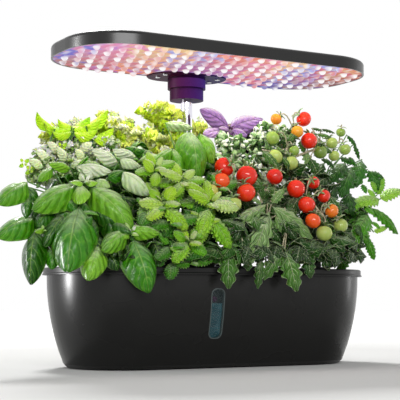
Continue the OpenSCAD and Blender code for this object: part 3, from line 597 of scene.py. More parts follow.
begin()
rings = []
for radius in FOAM_RADII:
    bpy.ops.mesh.primitive_cylinder_add(vertices=40, radius=radius, depth=FOAM_HIGH.z - FOAM_LOW.z - 0.0004,
                                        end_fill_type="NOTHING",
                                        location=(0, PUMP_Y, (FOAM_HIGH.z + FOAM_LOW.z) / 2))
    rings.append(bpy.context.object)
foam = join(rings, "pump_foam")
bpy.ops.object.transform_apply(location=True)
bpy.ops.object.mode_set(mode="EDIT")
for level in (FOAM_LOW.z, FOAM_HIGH.z):
    pick(foam, lambda p: abs(p.z - level) < 0.001)
    bpy.ops.mesh.bridge_edge_loops()
bpy.ops.mesh.select_all(action="SELECT")
bpy.ops.mesh.normals_make_consistent(inside=False)
bpy.ops.object.mode_set(mode="OBJECT")
apply_modifier(foam, "BEVEL", width=0.0007, segments=2)
bpy.ops.object.shade_smooth_by_angle(angle=math.radians(40))
foam.data.materials.append(filter_foam)
settle(foam, "deck", "filter_foam", "pump_filter")

# %% [markdown]
# ## Leaf finishes
# A leaf is a thin, waxy, living sheet. Its veins could be modelled, but there are hundreds of leaves, so they
# are drawn from the UV map, which runs across the blade and from base to tip: the veins sink, and the blade
# swells between them. Each leaf carries a `tint` that is part leaf colour and part painted light: from 0 for
# old leaves in painted shade inside the crown to 1 for leaves paled by painted lamp light, and its
# `leaf_length`, which sets how deep the bump is.

# %% Veins
def draw_veins(tree, mottle, veins, sweep):
    """How strongly a vein or the margin shows, the midrib alone, and the swelling between side veins."""
    split = add_node(tree, "SeparateXYZ", {"Vector": add_node(tree, "TexCoord").outputs["UV"]})
    off = add_node(tree, "Math", {0: split, 1: 0.5}, operation="SUBTRACT")
    off = add_node(tree, "Math", {0: off}, operation="ABSOLUTE")
    aside = add_node(tree, "Math", {0: off, 1: 2.0}, operation="MULTIPLY")
    curve = add_node(tree, "Math", {0: aside, 1: 1.5}, operation="POWER")
    swept = add_node(tree, "Math", {0: curve, 1: -sweep, 2: split.outputs[1]}, operation="MULTIPLY_ADD")
    stray = add_node(tree, "Math", {0: mottle, 1: 0.12, 2: swept}, operation="MULTIPLY_ADD")
    run = add_node(tree, "Math", {0: stray, 1: float(veins)}, operation="MULTIPLY")
    wave = add_node(tree, "Math", {0: run, 1: 0.5}, operation="PINGPONG")
    side_vein = add_node(tree, "MapRange", {"Value": wave, "From Max": 0.09, "To Min": 1.0, "To Max": 0.0})
    fade = add_node(tree, "MapRange", {"Value": aside, "To Min": 0.85, "To Max": 0.15})
    side_vein = add_node(tree, "Math", {0: side_vein, 1: fade}, operation="MULTIPLY")
    midrib = add_node(tree, "MapRange", {"Value": aside, "From Min": 0.015, "From Max": 0.07, "To Min": 1.0,
                                         "To Max": 0.0})
    margin = add_node(tree, "MapRange", {"Value": aside, "From Min": 0.9, "From Max": 0.98, "To Max": 0.7})
    lines = add_node(tree, "Math", {0: side_vein, 1: midrib}, operation="MAXIMUM")
    lines = add_node(tree, "Math", {0: lines, 1: margin}, operation="MAXIMUM")
    swell = add_node(tree, "MapRange", {"Value": wave, "From Max": 0.5}, interpolation_type="SMOOTHSTEP")
    return lines, midrib, swell


# %% Leaf finish
def leaf_finish(name, tints, vein, veins, sweep, gloss, puff, vein_show=0.5, wax=0.0, painted_top_sheen=0.2,
                through=0.25):
    """A leaf's skin: mottled tints, drawn veins, a painted pale sheen on faces that look up, and light
    through it.
    """
    finish, tree, shader = start_finish(name, {
        "Roughness": gloss, "IOR": 1.42, "Specular IOR Level": 0.18, "Coat Weight": wax,
        "Coat Roughness": 0.26, "Subsurface Weight": through, "Subsurface Radius": (0.6, 1.0, 0.2),
        "Subsurface Scale": 0.0015})
    place = add_node(tree, "TexCoord").outputs["Object"]
    mottle = add_node(tree, "TexNoise", {"Vector": place, "Scale": 160.0, "Detail": 3.0})
    lines, midrib, swell = draw_veins(tree, mottle, veins, sweep)
    shift = add_node(tree, "MapRange", {"Value": mottle, "To Min": -0.09, "To Max": 0.09})
    tint = add_node(tree, "Attribute", attribute_name="tint").outputs["Fac"]
    level = add_node(tree, "Math", {0: tint, 1: shift}, operation="ADD")
    stops = [(step / (len(tints) - 1), linear(colour)) for step, colour in enumerate(tints)]
    shade = add_node(tree, "ValToRGB", {"Fac": level}, stops=stops)
    showing = add_node(tree, "Math", {0: lines, 1: vein_show}, operation="MULTIPLY")
    veined = add_node(tree, "Mix", {0: showing, 6: shade, 7: linear(vein)}, data_type="RGBA").outputs[2]
    # Painted highlight: faces that look up are mixed towards a pale sheen, more on brighter leaves, where the
    # lamp's light would fall.
    upward = add_node(tree, "SeparateXYZ", {"Vector": add_node(tree, "NewGeometry").outputs["Normal"]})
    painted_sheen_mask = add_node(tree, "MapRange", {"Value": upward.outputs[2], "From Min": 0.3, "From Max": 0.95,
                                         "To Max": painted_top_sheen}, interpolation_type="SMOOTHSTEP")
    painted_sheen_mask = add_node(tree, "Math", {0: painted_sheen_mask, 1: level}, operation="MULTIPLY", use_clamp=True)
    painted_sheen_mix = add_node(tree, "Mix", {0: painted_sheen_mask, 6: veined, 7: linear("#eaf4d0")}, data_type="RGBA")
    tree.links.new(painted_sheen_mix.outputs[2], shader.inputs["Base Color"])
    height = add_node(tree, "Math", {0: mottle, 1: 0.35, 2: swell}, operation="MULTIPLY_ADD")
    height = add_node(tree, "Math", {0: midrib, 1: -0.8, 2: height}, operation="MULTIPLY_ADD")
    size = add_node(tree, "Attribute", attribute_name="leaf_length").outputs["Fac"]
    depth = add_node(tree, "Math", {0: size, 1: puff}, operation="MULTIPLY")
    bump = add_node(tree, "Bump", {"Height": height, "Distance": depth, "Strength": 0.9})
    tree.links.new(bump.outputs[0], shader.inputs["Normal"])
    return finish


# %% One finish for each kind of leaf
finishes = {
    # Waxy and puffed, with soft highlights on its swellings.
    "basil": leaf_finish(
        "waxy_basil_leaf", ("#061c00", "#164600", "#368204", "#90c832", "#f2f8e0"), "#b4e070",
        veins=5, sweep=0.36, gloss=0.32, puff=0.026, vein_show=0.42, wax=0.34, painted_top_sheen=0.7),
    # Wrinkled by close, deep veins, and bright yellow-green where it is young.
    "mint": leaf_finish(
        "rugose_mint_leaf", ("#082400", "#286c04", "#60b018", "#b8ec34", "#eefad0"), "#dcf8a8",
        veins=8, sweep=0.3, gloss=0.42, puff=0.06, vein_show=0.44, wax=0.1, painted_top_sheen=0.8),
    # Fine down makes it grey-green and dull, with pale veins.
    "tomato": leaf_finish(
        "downy_tomato_leaf", ("#061800", "#1c4c0c", "#4c8028", "#98bc74", "#e4eed0"), "#e8f4c8",
        veins=7, sweep=0.26, gloss=0.46, puff=0.06, vein_show=0.6, wax=0.1, painted_top_sheen=0.6),
    # Crisp and pale where light shines through the small leaflets.
    "parsley": leaf_finish(
        "curled_parsley_leaf", ("#14440a", "#70a840", "#c4e490", "#ecf8cc", "#fcfff0"), "#f4fbd8",
        veins=5, sweep=0.3, gloss=0.5, puff=0.03, vein_show=0.3, painted_top_sheen=0.6, through=0.4),
    # Thin and watery: nearly yellow, with hardly any shine.
    "lettuce": leaf_finish(
        "frilled_lettuce_leaf", ("#4e9408", "#90cc14", "#d4f82c", "#ecfc68", "#f8fed8"), "#f4fda8",
        veins=6, sweep=0.4, gloss=0.5, puff=0.02, vein_show=0.25, painted_top_sheen=0.15, through=0.35),
    # Purple with darker veins and a slight gloss.
    "purple": leaf_finish(
        "purple_basil_leaf", ("#180a1c", "#482452", "#8c689c", "#cca8d6", "#f4e8f6"), "#341440",
        veins=5, sweep=0.36, gloss=0.34, puff=0.024, vein_show=0.6, wax=0.25, painted_top_sheen=0.5),
    # Tiny, matt and silvery.
    "thyme": leaf_finish(
        "small_thyme_leaf", ("#0c2804", "#447430", "#98bc78", "#e0f0d0", "#fcfff4"), "#e4ecd0",
        veins=3, sweep=0.3, gloss=0.5, puff=0.02, vein_show=0.2, painted_top_sheen=0.65),
    # The darkest leaf, with a thin wax.
    "pepper": leaf_finish(
        "dark_vine_leaf", ("#041400", "#123c04", "#2e7014", "#70ac48", "#cce8b0"), "#8cc06c",
        veins=5, sweep=0.34, gloss=0.32, puff=0.03, vein_show=0.4, wax=0.1, painted_top_sheen=0.45),
    # A fresh mid green, toothed and slightly wrinkled.
    "sprig": leaf_finish(
        "toothed_oregano_leaf", ("#0a2400", "#205c04", "#509c10", "#a4d848", "#e8f6c0"), "#cce898",
        veins=6, sweep=0.32, gloss=0.36, puff=0.035, vein_show=0.4, wax=0.1, painted_top_sheen=0.4),
}
print("leaf finishes:", len(finishes))

# %% [markdown]
# ### Stems
# Stems are bundles of fibres, so a noise that is drawn out upwards streaks them. A plain green would make
# them look like wire.

# %% Stems
def stem_finish(name, colour, tip_colour, roughness):
    """A stem with fine streaks along its fibres."""
    finish, tree, shader = start_finish(name, {"Roughness": roughness, "IOR": 1.42})
    fibre = add_node(tree, "Mapping", {"Vector": add_node(tree, "TexCoord").outputs["Object"],
                                       "Scale": (1, 1, 0.15)})
    streak = add_node(tree, "TexNoise", {"Vector": fibre, "Scale": 900.0, "Detail": 2.0})
    shades = ((0.35, linear(colour)), (0.7, linear(tip_colour)))
    shade = add_node(tree, "ValToRGB", {"Fac": streak}, stops=shades)
    tree.links.new(shade.outputs[0], shader.inputs["Base Color"])
    bump = add_node(tree, "Bump", {"Height": streak, "Distance": 0.0003, "Strength": 0.5})
    tree.links.new(bump.outputs[0], shader.inputs["Normal"])
    return finish


# Herb stems are smooth and fresh, the tomato's are pale with down, and the purple basil's are dark.
green_stem = stem_finish("green_herb_stem", "#2c5a1c", "#6ea048", 0.5)
downy_stem = stem_finish("downy_tomato_stem", "#7c7454", "#dcd4b4", 0.65)
purple_stem = stem_finish("purple_basil_stem", "#24101e", "#5c3048", 0.5)
print("stems:", green_stem.name, downy_stem.name, purple_stem.name)

# %% [markdown]
# ## Leaf masters
# Each kind of leaf is modelled once, unit long and unit wide, and copied at its size and angle. It could be
# a flat cut-out, but a leaf's bends catch the light. So a grid gives the blade its UV map, and its columns
# are bent for the cup, the groove along the midrib and the frill. Its rows are scaled to the outline and
# lifted for the arch and the quilting, and Solidify gives it a skin. A deep zigzag in the outline makes
# teeth or lobes.

# %% Make a leaf
masters = {}


def make_leaf(name, finish, outline, columns=4, arch=0.16, cup=0.12, frill=0.0, sweep=0.0, smooth=0,
              skin=0.014, groove=0.0, quilt=0.0):
    """Models one kind of leaf from the widths along its outline, base first."""
    rows = len(outline) - 1
    begin()
    bpy.ops.mesh.primitive_grid_add(x_subdivisions=columns, y_subdivisions=rows, size=1, location=(0, 0.5, 0),
                                    calc_uvs=True)
    leaf = bpy.context.object
    leaf.name = name
    bpy.ops.object.transform_apply(location=True)
    bpy.ops.object.mode_set(mode="EDIT")
    for column in range(columns + 1):
        x = column / columns - 0.5
        pick(leaf, lambda p: abs(p.x - x) < 0.001)
        sunk = groove if abs(x) < 0.01 else 0
        bpy.ops.transform.translate(value=(0, sweep * abs(x), -cup * 4 * x * x - sunk))
        if frill:
            for row in range(rows + 1):
                lift = frill * (1 if (row + column) % 2 else -1) * max(abs(x) * 2, (row / rows) ** 3)
                y = row / rows + sweep * abs(x)
                pick(leaf, lambda p: abs(p.x - x) < 0.001 and abs(p.y - y) < 0.001)
                bpy.ops.transform.translate(value=(0, 0, lift))
    for row, width in enumerate(outline):
        y = row / rows
        pick(leaf, lambda p: abs(p.y - sweep * abs(p.x) - y) < 0.001)
        bpy.ops.transform.resize(value=(width, 1, width), center_override=(0, y, 0))
        swell = quilt * (row % 2) * width
        bpy.ops.transform.translate(value=(0, 0, arch * math.sin(math.pi * y) + swell))
    bpy.ops.object.mode_set(mode="OBJECT")
    if smooth:
        apply_modifier(leaf, "SUBSURF", levels=smooth, render_levels=smooth)
    apply_modifier(leaf, "SOLIDIFY", thickness=skin, offset=0)
    bpy.ops.object.shade_smooth()
    leaf.data.materials.append(finishes[finish])
    masters[name] = leaf


# %% Outlines, as widths from base to tip
OVATE = (0.12, 0.62, 0.88, 0.99, 1.0, 0.96, 0.88, 0.76, 0.6, 0.38, 0.04)
SMALL_OVATE = (0.1, 0.8, 1.0, 0.85, 0.5, 0.04)
DOMED = (0.5, 0.84, 0.97, 1.0, 0.99, 0.96, 0.9, 0.8, 0.64, 0.4, 0.04)
TOOTHED = (0.1, 0.54, 0.84, 0.66, 1.0, 0.76, 1.02, 0.76, 0.98, 0.68, 0.82, 0.5, 0.6, 0.3, 0.04)
LOBED = (0.06, 0.5, 0.84, 0.4, 0.86, 1.06, 0.46, 0.84, 0.96, 0.4, 0.62, 0.66, 0.28, 0.26, 0.03)
FAN = (0.36, 0.62, 0.86, 1.0, 0.98, 0.7)
NARROW = (0.15, 0.8, 1.0, 0.7, 0.05)
ROUND = (0.3, 0.9, 1.0, 0.86, 0.3)
CURLED = (0.2, 0.9, 0.6, 1.0, 0.5)

make_leaf("basil", "basil", OVATE, columns=8, arch=0.2, cup=0.34, sweep=0.04, smooth=1, groove=0.06,
          quilt=0.007)
make_leaf("basil_dome", "basil", DOMED, columns=8, arch=0.3, cup=0.36, sweep=0.03, smooth=1, groove=0.04,
          quilt=0.005)
make_leaf("basil_fill", "basil", SMALL_OVATE, arch=0.18, cup=0.24)
make_leaf("mint", "mint", TOOTHED, columns=6, arch=0.12, cup=0.18, sweep=0.12, groove=0.05)
make_leaf("mint_fill", "mint", SMALL_OVATE, arch=0.14, cup=0.1, frill=0.03)
make_leaf("tomato", "tomato", LOBED, columns=6, arch=0.12, cup=0.14, sweep=0.22, smooth=1, groove=0.05)
make_leaf("tomato_fill", "tomato", LOBED[::2], arch=0.14, cup=0.12, sweep=0.1)
make_leaf("sepal", "tomato", NARROW, columns=2, arch=0.25, cup=0.08, skin=0.05)
make_leaf("parsley", "parsley", CURLED, arch=0.14, cup=0.1, frill=0.2)
make_leaf("parsley_flat", "parsley", OVATE, arch=0.2, cup=0.2, smooth=1)
make_leaf("lettuce", "lettuce", FAN, columns=6, arch=0.14, cup=-0.1, frill=0.2)
make_leaf("lettuce_low", "lettuce", SMALL_OVATE, arch=0.2, cup=-0.16, frill=0.06)
make_leaf("lettuce_fill", "lettuce", FAN, arch=0.14, cup=-0.1, frill=0.2)
make_leaf("pale_leaf", "lettuce", OVATE, columns=6, arch=-0.16, cup=0.2, frill=0.02, smooth=1)
make_leaf("purple", "purple", OVATE, columns=6, arch=0.12, cup=0.14, sweep=0.06, smooth=1, groove=0.05,
          quilt=0.004)
make_leaf("purple_fill", "purple", SMALL_OVATE, arch=0.14, cup=0.14)
make_leaf("thyme", "thyme", ROUND, columns=2, arch=0.2, cup=0.2, skin=0.04)
make_leaf("pepper", "pepper", LOBED, columns=6, arch=0.14, cup=0.12, sweep=0.16, smooth=1)
make_leaf("pepper_fill", "pepper", SMALL_OVATE, arch=0.16, cup=0.14)
make_leaf("sprig", "sprig", TOOTHED, arch=0.16, cup=0.14, sweep=0.1, groove=0.05)
make_leaf("sprig_fill", "sprig", SMALL_OVATE, arch=0.16, cup=0.1)
print("leaf masters:", {name: len(leaf.data.polygons) for name, leaf in masters.items()})

# %% [markdown]
# ## Growing a plant
# A plant is stems from its pod, leaves that are placed one by one where they show, and smaller leaves that
# fill its crown. A particle system could scatter them all, but the eye goes to the big leaves, so each of
# those has its own place. A leaf is laid by its base, its tip, its width and the way its face looks. The
# draws come from one seeded generator, so the garden grows the same every time.

# %% Lay leaves and stems
growing = {}
stems = {}
chance = random.Random(7)


def frame_on(base, tip, width, facing):
    """The matrix that lays a master from base to tip with its face turned to facing."""
    along = tip - base
    y = along.normalized()
    x = y.cross(facing).normalized()
    z = x.cross(y)
    turned = Matrix((x * width, along, z * along.length)).transposed().to_4x4()
    turned.translation = base
    return turned


def lay(plant, kind, base, tip, width_mm, facing, tint):
    """Adds one leaf to a plant."""
    leaf = copy_of(masters[kind], frame_on(base, tip, width_mm / 1000, facing), kind)
    mark(leaf, "tint", min(1, max(0, tint)))
    mark(leaf, "leaf_length", (tip - base).length)
    growing.setdefault(plant, []).append(leaf)


def stem(plant, points, radius_mm):
    """Adds one stem to a plant, through these points."""
    stems.setdefault(plant, []).append((points, radius_mm / 1000))


def heart(balls, place):
    """The middle of the crown ball nearest a place. A ball is x, y, z and radius in millimetres."""
    return min((mm(x, y, z) for x, y, z, r in balls), key=lambda c: (c - place).length)


def shown_leaves(plant, kind, balls, rows):
    """Leaves as seen from the front, each with a stalk: base and tip in the view, depths, width and tint."""
    for base_at, tip_at, base_y, tip_y, width, tint in rows:
        base, tip = seen(*base_at, base_y), seen(*tip_at, tip_y)
        tilt = Vector((chance.uniform(-0.2, 0.2), 0, 0.3 + chance.uniform(-0.2, 0.2)))
        lay(plant, kind, base, tip, width, TO_CAMERA + tilt, tint)
        inside = heart(balls, base)
        middle = (base + inside) / 2 + Vector((0, 0, 0.004))
        stem(plant, (inside, middle, base + (base - tip) * 0.02), 0.8)


# %% [markdown]
# Leaves must not grow into what moves or stands among them: the pole and the lamp's hub, the filling flap
# as it swings, the spare pod as it lifts out, and the deck. These spaces are kept free by plain limits in
# millimetres.

# %% Spaces without leaves
POLE_ROOM, HUB_RADIUS, HUB_FROM = 13, 24, 278
FLAP_SIDE, FLAP_FRONT, FLAP_BACK, FLAP_TOP = 23, -79, -34, 146
SPARE_ROOM, SPARE_TOP = 20, 178
DECK_CLEAR, DECK_FRONT = 113, -95
CROWN_TOP, CROWN_FRONT, CROWN_BACK = 314, -113, 94


def free(place):
    """True where a leaf may be."""
    x, y, z = place * 1000
    at_pole = math.hypot(x, y - POLE_Y * 1000) <= (HUB_RADIUS if z > HUB_FROM else POLE_ROOM)
    in_flap = abs(x) < FLAP_SIDE and FLAP_FRONT < y < FLAP_BACK and z < FLAP_TOP
    in_pod = math.hypot(x - SPARE_POD[0], y - SPARE_POD[1]) < SPARE_ROOM and z < SPARE_TOP
    over_deck = z < DECK_CLEAR and y > DECK_FRONT
    inside = z < CROWN_TOP and CROWN_FRONT < y < CROWN_BACK
    return inside and not (at_pole or in_flap or in_pod or over_deck)


def clear(base, tip, width_mm, facing):
    """True where a whole leaf may be, its edges included."""
    side = (tip - base).cross(facing).normalized() * width_mm / 2000
    return all(free(base.lerp(tip, t) + side * k) for t in (0, 0.3, 0.6, 1.1) for k in (-1, 0, 1))


print("free at the pole:", free(mm(0, POLE_Y * 1000, 200)), "and in a crown:", free(mm(60, 0, 240)))

# %% [markdown]
# A crown is filled over a few balls. Leaves spread over a ball by the golden angle never line up in rows,
# which rings or columns of leaves would.

# %% Fill a crown
GOLDEN_ANGLE = 2.39996
SET_BACK = 0.00045


def fill_crown(plant, kind, balls, count, size_mm, shape=0.55, droop=0.35, tint=(0.3, 0.62), spread=0.6,
               mix=0.1):
    """Leaves over each crown ball, faces outwards and tips down, paler higher up; one in three lies inside
    it, in painted shade.
    """
    for cx, cy, cz, r in balls:
        centre = mm(cx, cy, cz)
        for i in range(count):
            up = 1 - 2 * (i + 0.5) / count
            turn = i * GOLDEN_ANGLE + chance.uniform(-0.3, 0.3)
            ring = math.sqrt(1 - up * up)
            out = Vector((math.cos(turn) * ring, math.sin(turn) * ring, up))
            about = Vector((chance.uniform(-1, 1), chance.uniform(-1, 1), chance.uniform(-1, 1)))
            aside = out.cross(about).normalized()
            inner = i % 3 == 2
            length = size_mm * chance.uniform(0.75, 1.2)
            way = (out * (1 - spread) + aside * spread + Vector((0, 0, -droop))).normalized()
            base = centre + out * r / 1000 * (0.45 if inner else 0.9) - way * length * SET_BACK
            tilt = Vector((chance.uniform(-0.25, 0.25), chance.uniform(-0.25, 0.25),
                           chance.uniform(0.1, 0.6)))
            facing = out + tilt
            # Painted light: a leaf's tint rises towards the top of its ball.
            level = tint[0] + (tint[1] - tint[0]) * (0.5 + 0.5 * up) + chance.uniform(-mix, mix)
            tip = base + way * length / 1000
            if clear(base, tip, length * shape, facing):
                # Painted shade: a leaf inside the ball gets half its tint.
                lay(plant, kind, base, tip, length * shape, facing, level * (0.5 if inner else 1))


def rosette(plant, kind, centre, up, size_mm, pairs, turn, tint, shape=0.72):
    """Pairs of leaves at right angles round a shoot's tip, smaller and brighter towards the middle."""
    side = up.cross(Vector((0.3, 1, 0.2))).normalized()
    fore = up.cross(side)
    for pair in range(pairs):
        size = size_mm * (1 - pair / (pairs + 0.6))
        for half in (0, 1):
            angle = turn + pair * math.pi / 2 + half * math.pi
            way = side * math.cos(angle) + fore * math.sin(angle)
            base = centre + way * 0.0012 + up * 0.0018 * pair
            tip = base + (way * (1 - 0.22 * pair) + up * (0.05 + 0.34 * pair)).normalized() * size / 1000
            lay(plant, kind, base, tip, size * shape, up, tint + 0.14 * pair)


# %% Main stems, and the finished plant
def grow(plant, balls, pods, radius_mm=1.5):
    """Main stems from the pods to the crown balls."""
    for x, y, z, r in balls:
        foot = min(pods, key=lambda p: (Vector(p) - Vector((x, y))).length)
        start, end = mm(foot[0], foot[1], 106), mm(x, y, z)
        bend = (start + end) / 2 + Vector((0, 0, (end - start).length * 0.12))
        stem(plant, (start, start + Vector((0, 0, 0.02)), bend, end), radius_mm)


def finish_plant(plant, stem_material, slot):
    data = bpy.data.curves.new(plant + "_stems", "CURVE")
    data.dimensions = "3D"
    data.bevel_depth = 1.0
    data.bevel_resolution = 1
    data.resolution_u = 4
    data.use_fill_caps = True
    for points, radius in stems[plant]:
        line = data.splines.new("BEZIER")
        line.bezier_points.add(len(points) - 1)
        for place, point in zip(points, line.bezier_points):
            point.co = place
            point.handle_left_type = point.handle_right_type = "AUTO"
            point.radius = radius
    made = bpy.data.objects.new(plant + "_stems", data)
    bpy.context.collection.objects.link(made)
    data.materials.append(stem_material)
    begin()
    made.select_set(True)
    bpy.context.view_layer.objects.active = made
    bpy.ops.object.convert(target="MESH")
    whole = join(growing[plant] + [made], plant + "_plant")
    bpy.ops.object.shade_smooth()
    settle(whole, "deck", slot, plant)


# %% [markdown]
# ## Basil at the left end
# Sweet basil has big, puffed, glossy leaves in opposite pairs. The largest hang over the tank's rim, and the
# palest, whose tint holds painted lamp light, are at the top, close to the lamp. Each big leaf has its own
# row in a table. The crown behind them is filled twice, once for its surface and once for leaves inside whose
# dark tint is painted shade, so no light shows through it.

# %% Left basil
LEFT_PODS = ((-160, 0), (-120, -46))
LEFT_BALLS = ((-172, -12, 194, 20), (-192, -46, 172, 22), (-206, -36, 148, 17), (-188, -66, 150, 17),
              (-150, -76, 148, 16), (-158, -8, 214, 13), (-148, -30, 188, 16))
LEFT_LEAVES = (
    ((79, 207), (67, 271), -70, -100, 49, 0.5), ((91, 187), (132, 227), -62, -92, 40, 0.62),
    ((76, 185), (33, 210), -58, -64, 33, 0.58), ((81.5, 185), (79, 204), -66, -84, 20, 0.72),
    ((35, 231), (31, 284), -60, -66, 28, 0.3), ((27, 182), (-2, 204), -42, -48, 28, 0.56),
    ((34, 218), (-3, 237), -44, -50, 31, 0.52), ((50, 208), (38, 227), -48, -60, 20, 0.34),
    ((53, 246), (52, 269), -62, -74, 17, 0.46), ((98, 245), (88, 280), -84, -98, 29, 0.66),
    ((127, 230), (103, 251), -86, -100, 24, 0.6), ((133, 240), (149, 292), -92, -106, 38, 0.5),
    ((126, 229), (159, 233), -88, -102, 19, 0.64), ((123, 172), (150, 195), -66, -76, 22, 0.9),
    ((118, 163), (93, 149), -36, -42, 16, 0.96), ((76, 167), (111, 171), -40, -56, 17, 0.94),
    ((136, 157), (113, 150), -30, -38, 14, 0.95), ((71, 169), (49, 163), -36, -40, 11, 0.7),
    ((52, 168), (38, 181), -34, -40, 13, 0.62), ((97, 212), (124, 226), -74, -84, 20, 0.3),
    ((108, 178), (126, 172), -50, -54, 16, 0.42), ((28, 198), (26, 218), -46, -50, 13, 0.36),
    ((45, 229), (35, 232), -58, -64, 7, 0.7), ((96, 180), (110, 187), -44, -52, 16, 0.8),
    ((66, 212), (44, 246), -56, -70, 24, 0.3), ((104, 206), (118, 246), -70, -82, 26, 0.26),
    ((84, 232), (112, 262), -72, -86, 26, 0.2), ((58, 240), (66, 262), -66, -72, 24, 0.22),
    ((26, 187), (38, 203), -36, -40, 14, 0.3), ((40, 208), (31, 220), -40, -42, 14, 0.3),
    ((108, 252), (118, 270), -84, -90, 18, 0.2), ((37, 216), (40, 232), -44, -50, 14, 0.3),
    ((120, 160), (140, 166), -48, -52, 14, 0.9), ((96, 176), (82, 168), -46, -48, 13, 0.94),
)
grow("basil_left", LEFT_BALLS, LEFT_PODS)
shown_leaves("basil_left", "basil", LEFT_BALLS, LEFT_LEAVES)
fill_crown("basil_left", "basil_fill", LEFT_BALLS, 18, 25, shape=0.62, tint=(0.18, 0.6))
# Balls inside the crown; their leaves' dark tints are painted shade.
LEFT_SHADE = (
    (-150, -40, 150, 16), (-178, -40, 138, 14), (-130, -20, 196, 14), (-124, -62, 130, 12),
    (-196, -20, 190, 14), (-140, -60, 176, 12), (-100, -30, 170, 16), (-112, -10, 140, 16),
    (-100, -50, 140, 14), (-112, -86, 126, 9), (-136, -86, 126, 10), (-160, -80, 126, 10),
    (-184, -70, 128, 10), (-206, -50, 132, 10),
)
fill_crown("basil_left", "basil_fill", LEFT_SHADE, 16, 28, shape=0.66, tint=(0.0, 0.34))
rosette("basil_left", "basil", seen(84, 183, -66), Vector((0, -0.5, 1)).normalized(), 15, 3, 0.4, 0.74)
rosette("basil_left", "basil_fill", seen(130, 233, -92), Vector((0, -0.8, 0.6)).normalized(), 14, 3,
        0.9, 0.66)
rosette("basil_left", "basil_fill", seen(44, 231, -62), Vector((-0.3, -0.6, 0.8)).normalized(), 9, 2,
        0.2, 0.66)
finish_plant("basil_left", green_stem, "basil_leaf")

# %% [markdown]
# ## Basil in the middle
# A second basil stands behind the mint. One large leaf is puffed up into a dome. It could be a basil leaf
# scaled up, but then its base would be too narrow, so it has a master of its own.

# %% Middle basil
MIDDLE_BALLS = ((-72, -16, 196, 18), (-50, -26, 220, 15), (-82, -6, 160, 13), (-88, -24, 224, 12))
MIDDLE_LEAVES = (
    ((200, 134), (213, 163), -28, -36, 24, 0.64),
    ((172, 149), (151, 167), -38, -44, 17, 0.6), ((173, 149), (181, 175), -36, -48, 19, 0.58),
    ((160, 156), (140, 160), -34, -40, 13, 0.8), ((183, 150), (172, 178), -30, -40, 20, 0.36),
    ((187, 170), (203, 192), -34, -42, 22, 0.28), ((166, 158), (158, 184), -32, -44, 20, 0.3),
    ((166, 123), (193, 128), 16, 8, 14, 0.86),
)
grow("basil_centre", MIDDLE_BALLS, ((-80, 0),))
shown_leaves("basil_centre", "basil", MIDDLE_BALLS, MIDDLE_LEAVES)
DOME_LEAF = (((189, 132), (196, 183), -32, -50, 35, 0.56),)
shown_leaves("basil_centre", "basil_dome", MIDDLE_BALLS, DOME_LEAF)
fill_crown("basil_centre", "basil_fill", MIDDLE_BALLS, 16, 23, shape=0.62, tint=(0.2, 0.6))
# Balls inside the crown; their leaves' dark tints are painted shade.
MIDDLE_SHADE = (
    (-80, 20, 244, 12), (-11, -20, 230, 11), (-6, -26, 212, 11), (-104, -6, 200, 14), (-30, -20, 200, 14),
    (-100, 6, 226, 12), (-60, 4, 176, 16), (-120, 4, 224, 12),
)
fill_crown("basil_centre", "basil_fill", MIDDLE_SHADE, 16, 24, shape=0.64, tint=(0.05, 0.5))
finish_plant("basil_centre", green_stem, "basil_leaf")

# %% [markdown]
# ## Mint
# Mint has toothed, wrinkled leaves in crossed pairs, and a bright tuft of young leaves at each shoot's tip.
# The tufts could be rows in the leaf table, but crossed pairs follow a rule, so each tuft is one rosette.

# %% Mint shoots
MINT_BALLS = ((-64, -68, 160, 20), (-52, -54, 184, 13), (-88, -78, 142, 17), (-64, -54, 206, 13))
MINT_SHOOTS = (
    ((155, 168), -64, 24, 3, 0.5, 0.58), ((179, 182), -70, 28, 3, 0.2, 0.6),
    ((161, 203), -78, 34, 3, 0.75, 0.55), ((209.6, 203), -78, 33, 3, 0.1, 0.56),
    ((189, 242), -96, 24, 3, 0.6, 0.6), ((204, 222), -88, 27, 2, 1.2, 0.56),
    ((172, 222), -88, 29, 2, 0.3, 0.34), ((170, 246), -92, 27, 2, 0.9, 0.3),
    ((192, 262), -92, 22, 2, 0.2, 0.36), ((150, 210), -84, 27, 2, 1.1, 0.3),
    ((219, 188), -66, 24, 2, 0.5, 0.34),
)
MINT_LEAVES = (
    ((164, 204), (140, 203), -90, -94, 18, 0.78), ((163, 206), (148, 219), -92, -98, 17, 0.76),
    ((166, 207), (187, 228), -92, -100, 22, 0.66), ((167, 201), (173, 187), -86, -88, 17, 0.72),
    ((160, 201), (150, 190), -86, -88, 14, 0.66), ((210, 202), (189, 191), -88, -90, 18, 0.7),
    ((213, 203), (238, 208), -90, -96, 20, 0.84), ((209, 209), (200, 236), -94, -102, 23, 0.64),
    ((212, 218), (230, 247), -96, -102, 22, 0.58), ((183, 178), (160, 171), -80, -84, 17, 0.78),
    ((184, 178), (194, 170), -80, -82, 12, 0.8), ((184, 183), (205, 193), -82, -86, 15, 0.7),
    ((182, 182), (174, 196), -82, -90, 15, 0.62), ((154, 172), (144, 160), -74, -76, 13, 0.74),
    ((157, 172), (154, 186), -76, -82, 14, 0.66), ((187, 242), (174, 262), -98, -106, 19, 0.6),
    ((190, 243), (206, 254), -98, -104, 17, 0.52), ((187, 240), (174, 232), -96, -98, 16, 0.56),
    ((191, 238), (201, 228), -96, -98, 15, 0.56), ((172, 262), (170, 279), -92, -104, 17, 0.3),
    ((196, 250), (207, 264), -90, -100, 16, 0.34), ((208, 240), (216, 262), -84, -94, 16, 0.26),
    ((158, 248), (160, 266), -88, -96, 18, 0.24), ((176, 214), (164, 236), -80, -92, 20, 0.24),
    ((200, 196), (194, 216), -74, -84, 20, 0.26),
)
grow("mint", MINT_BALLS, ((-40, -46),))
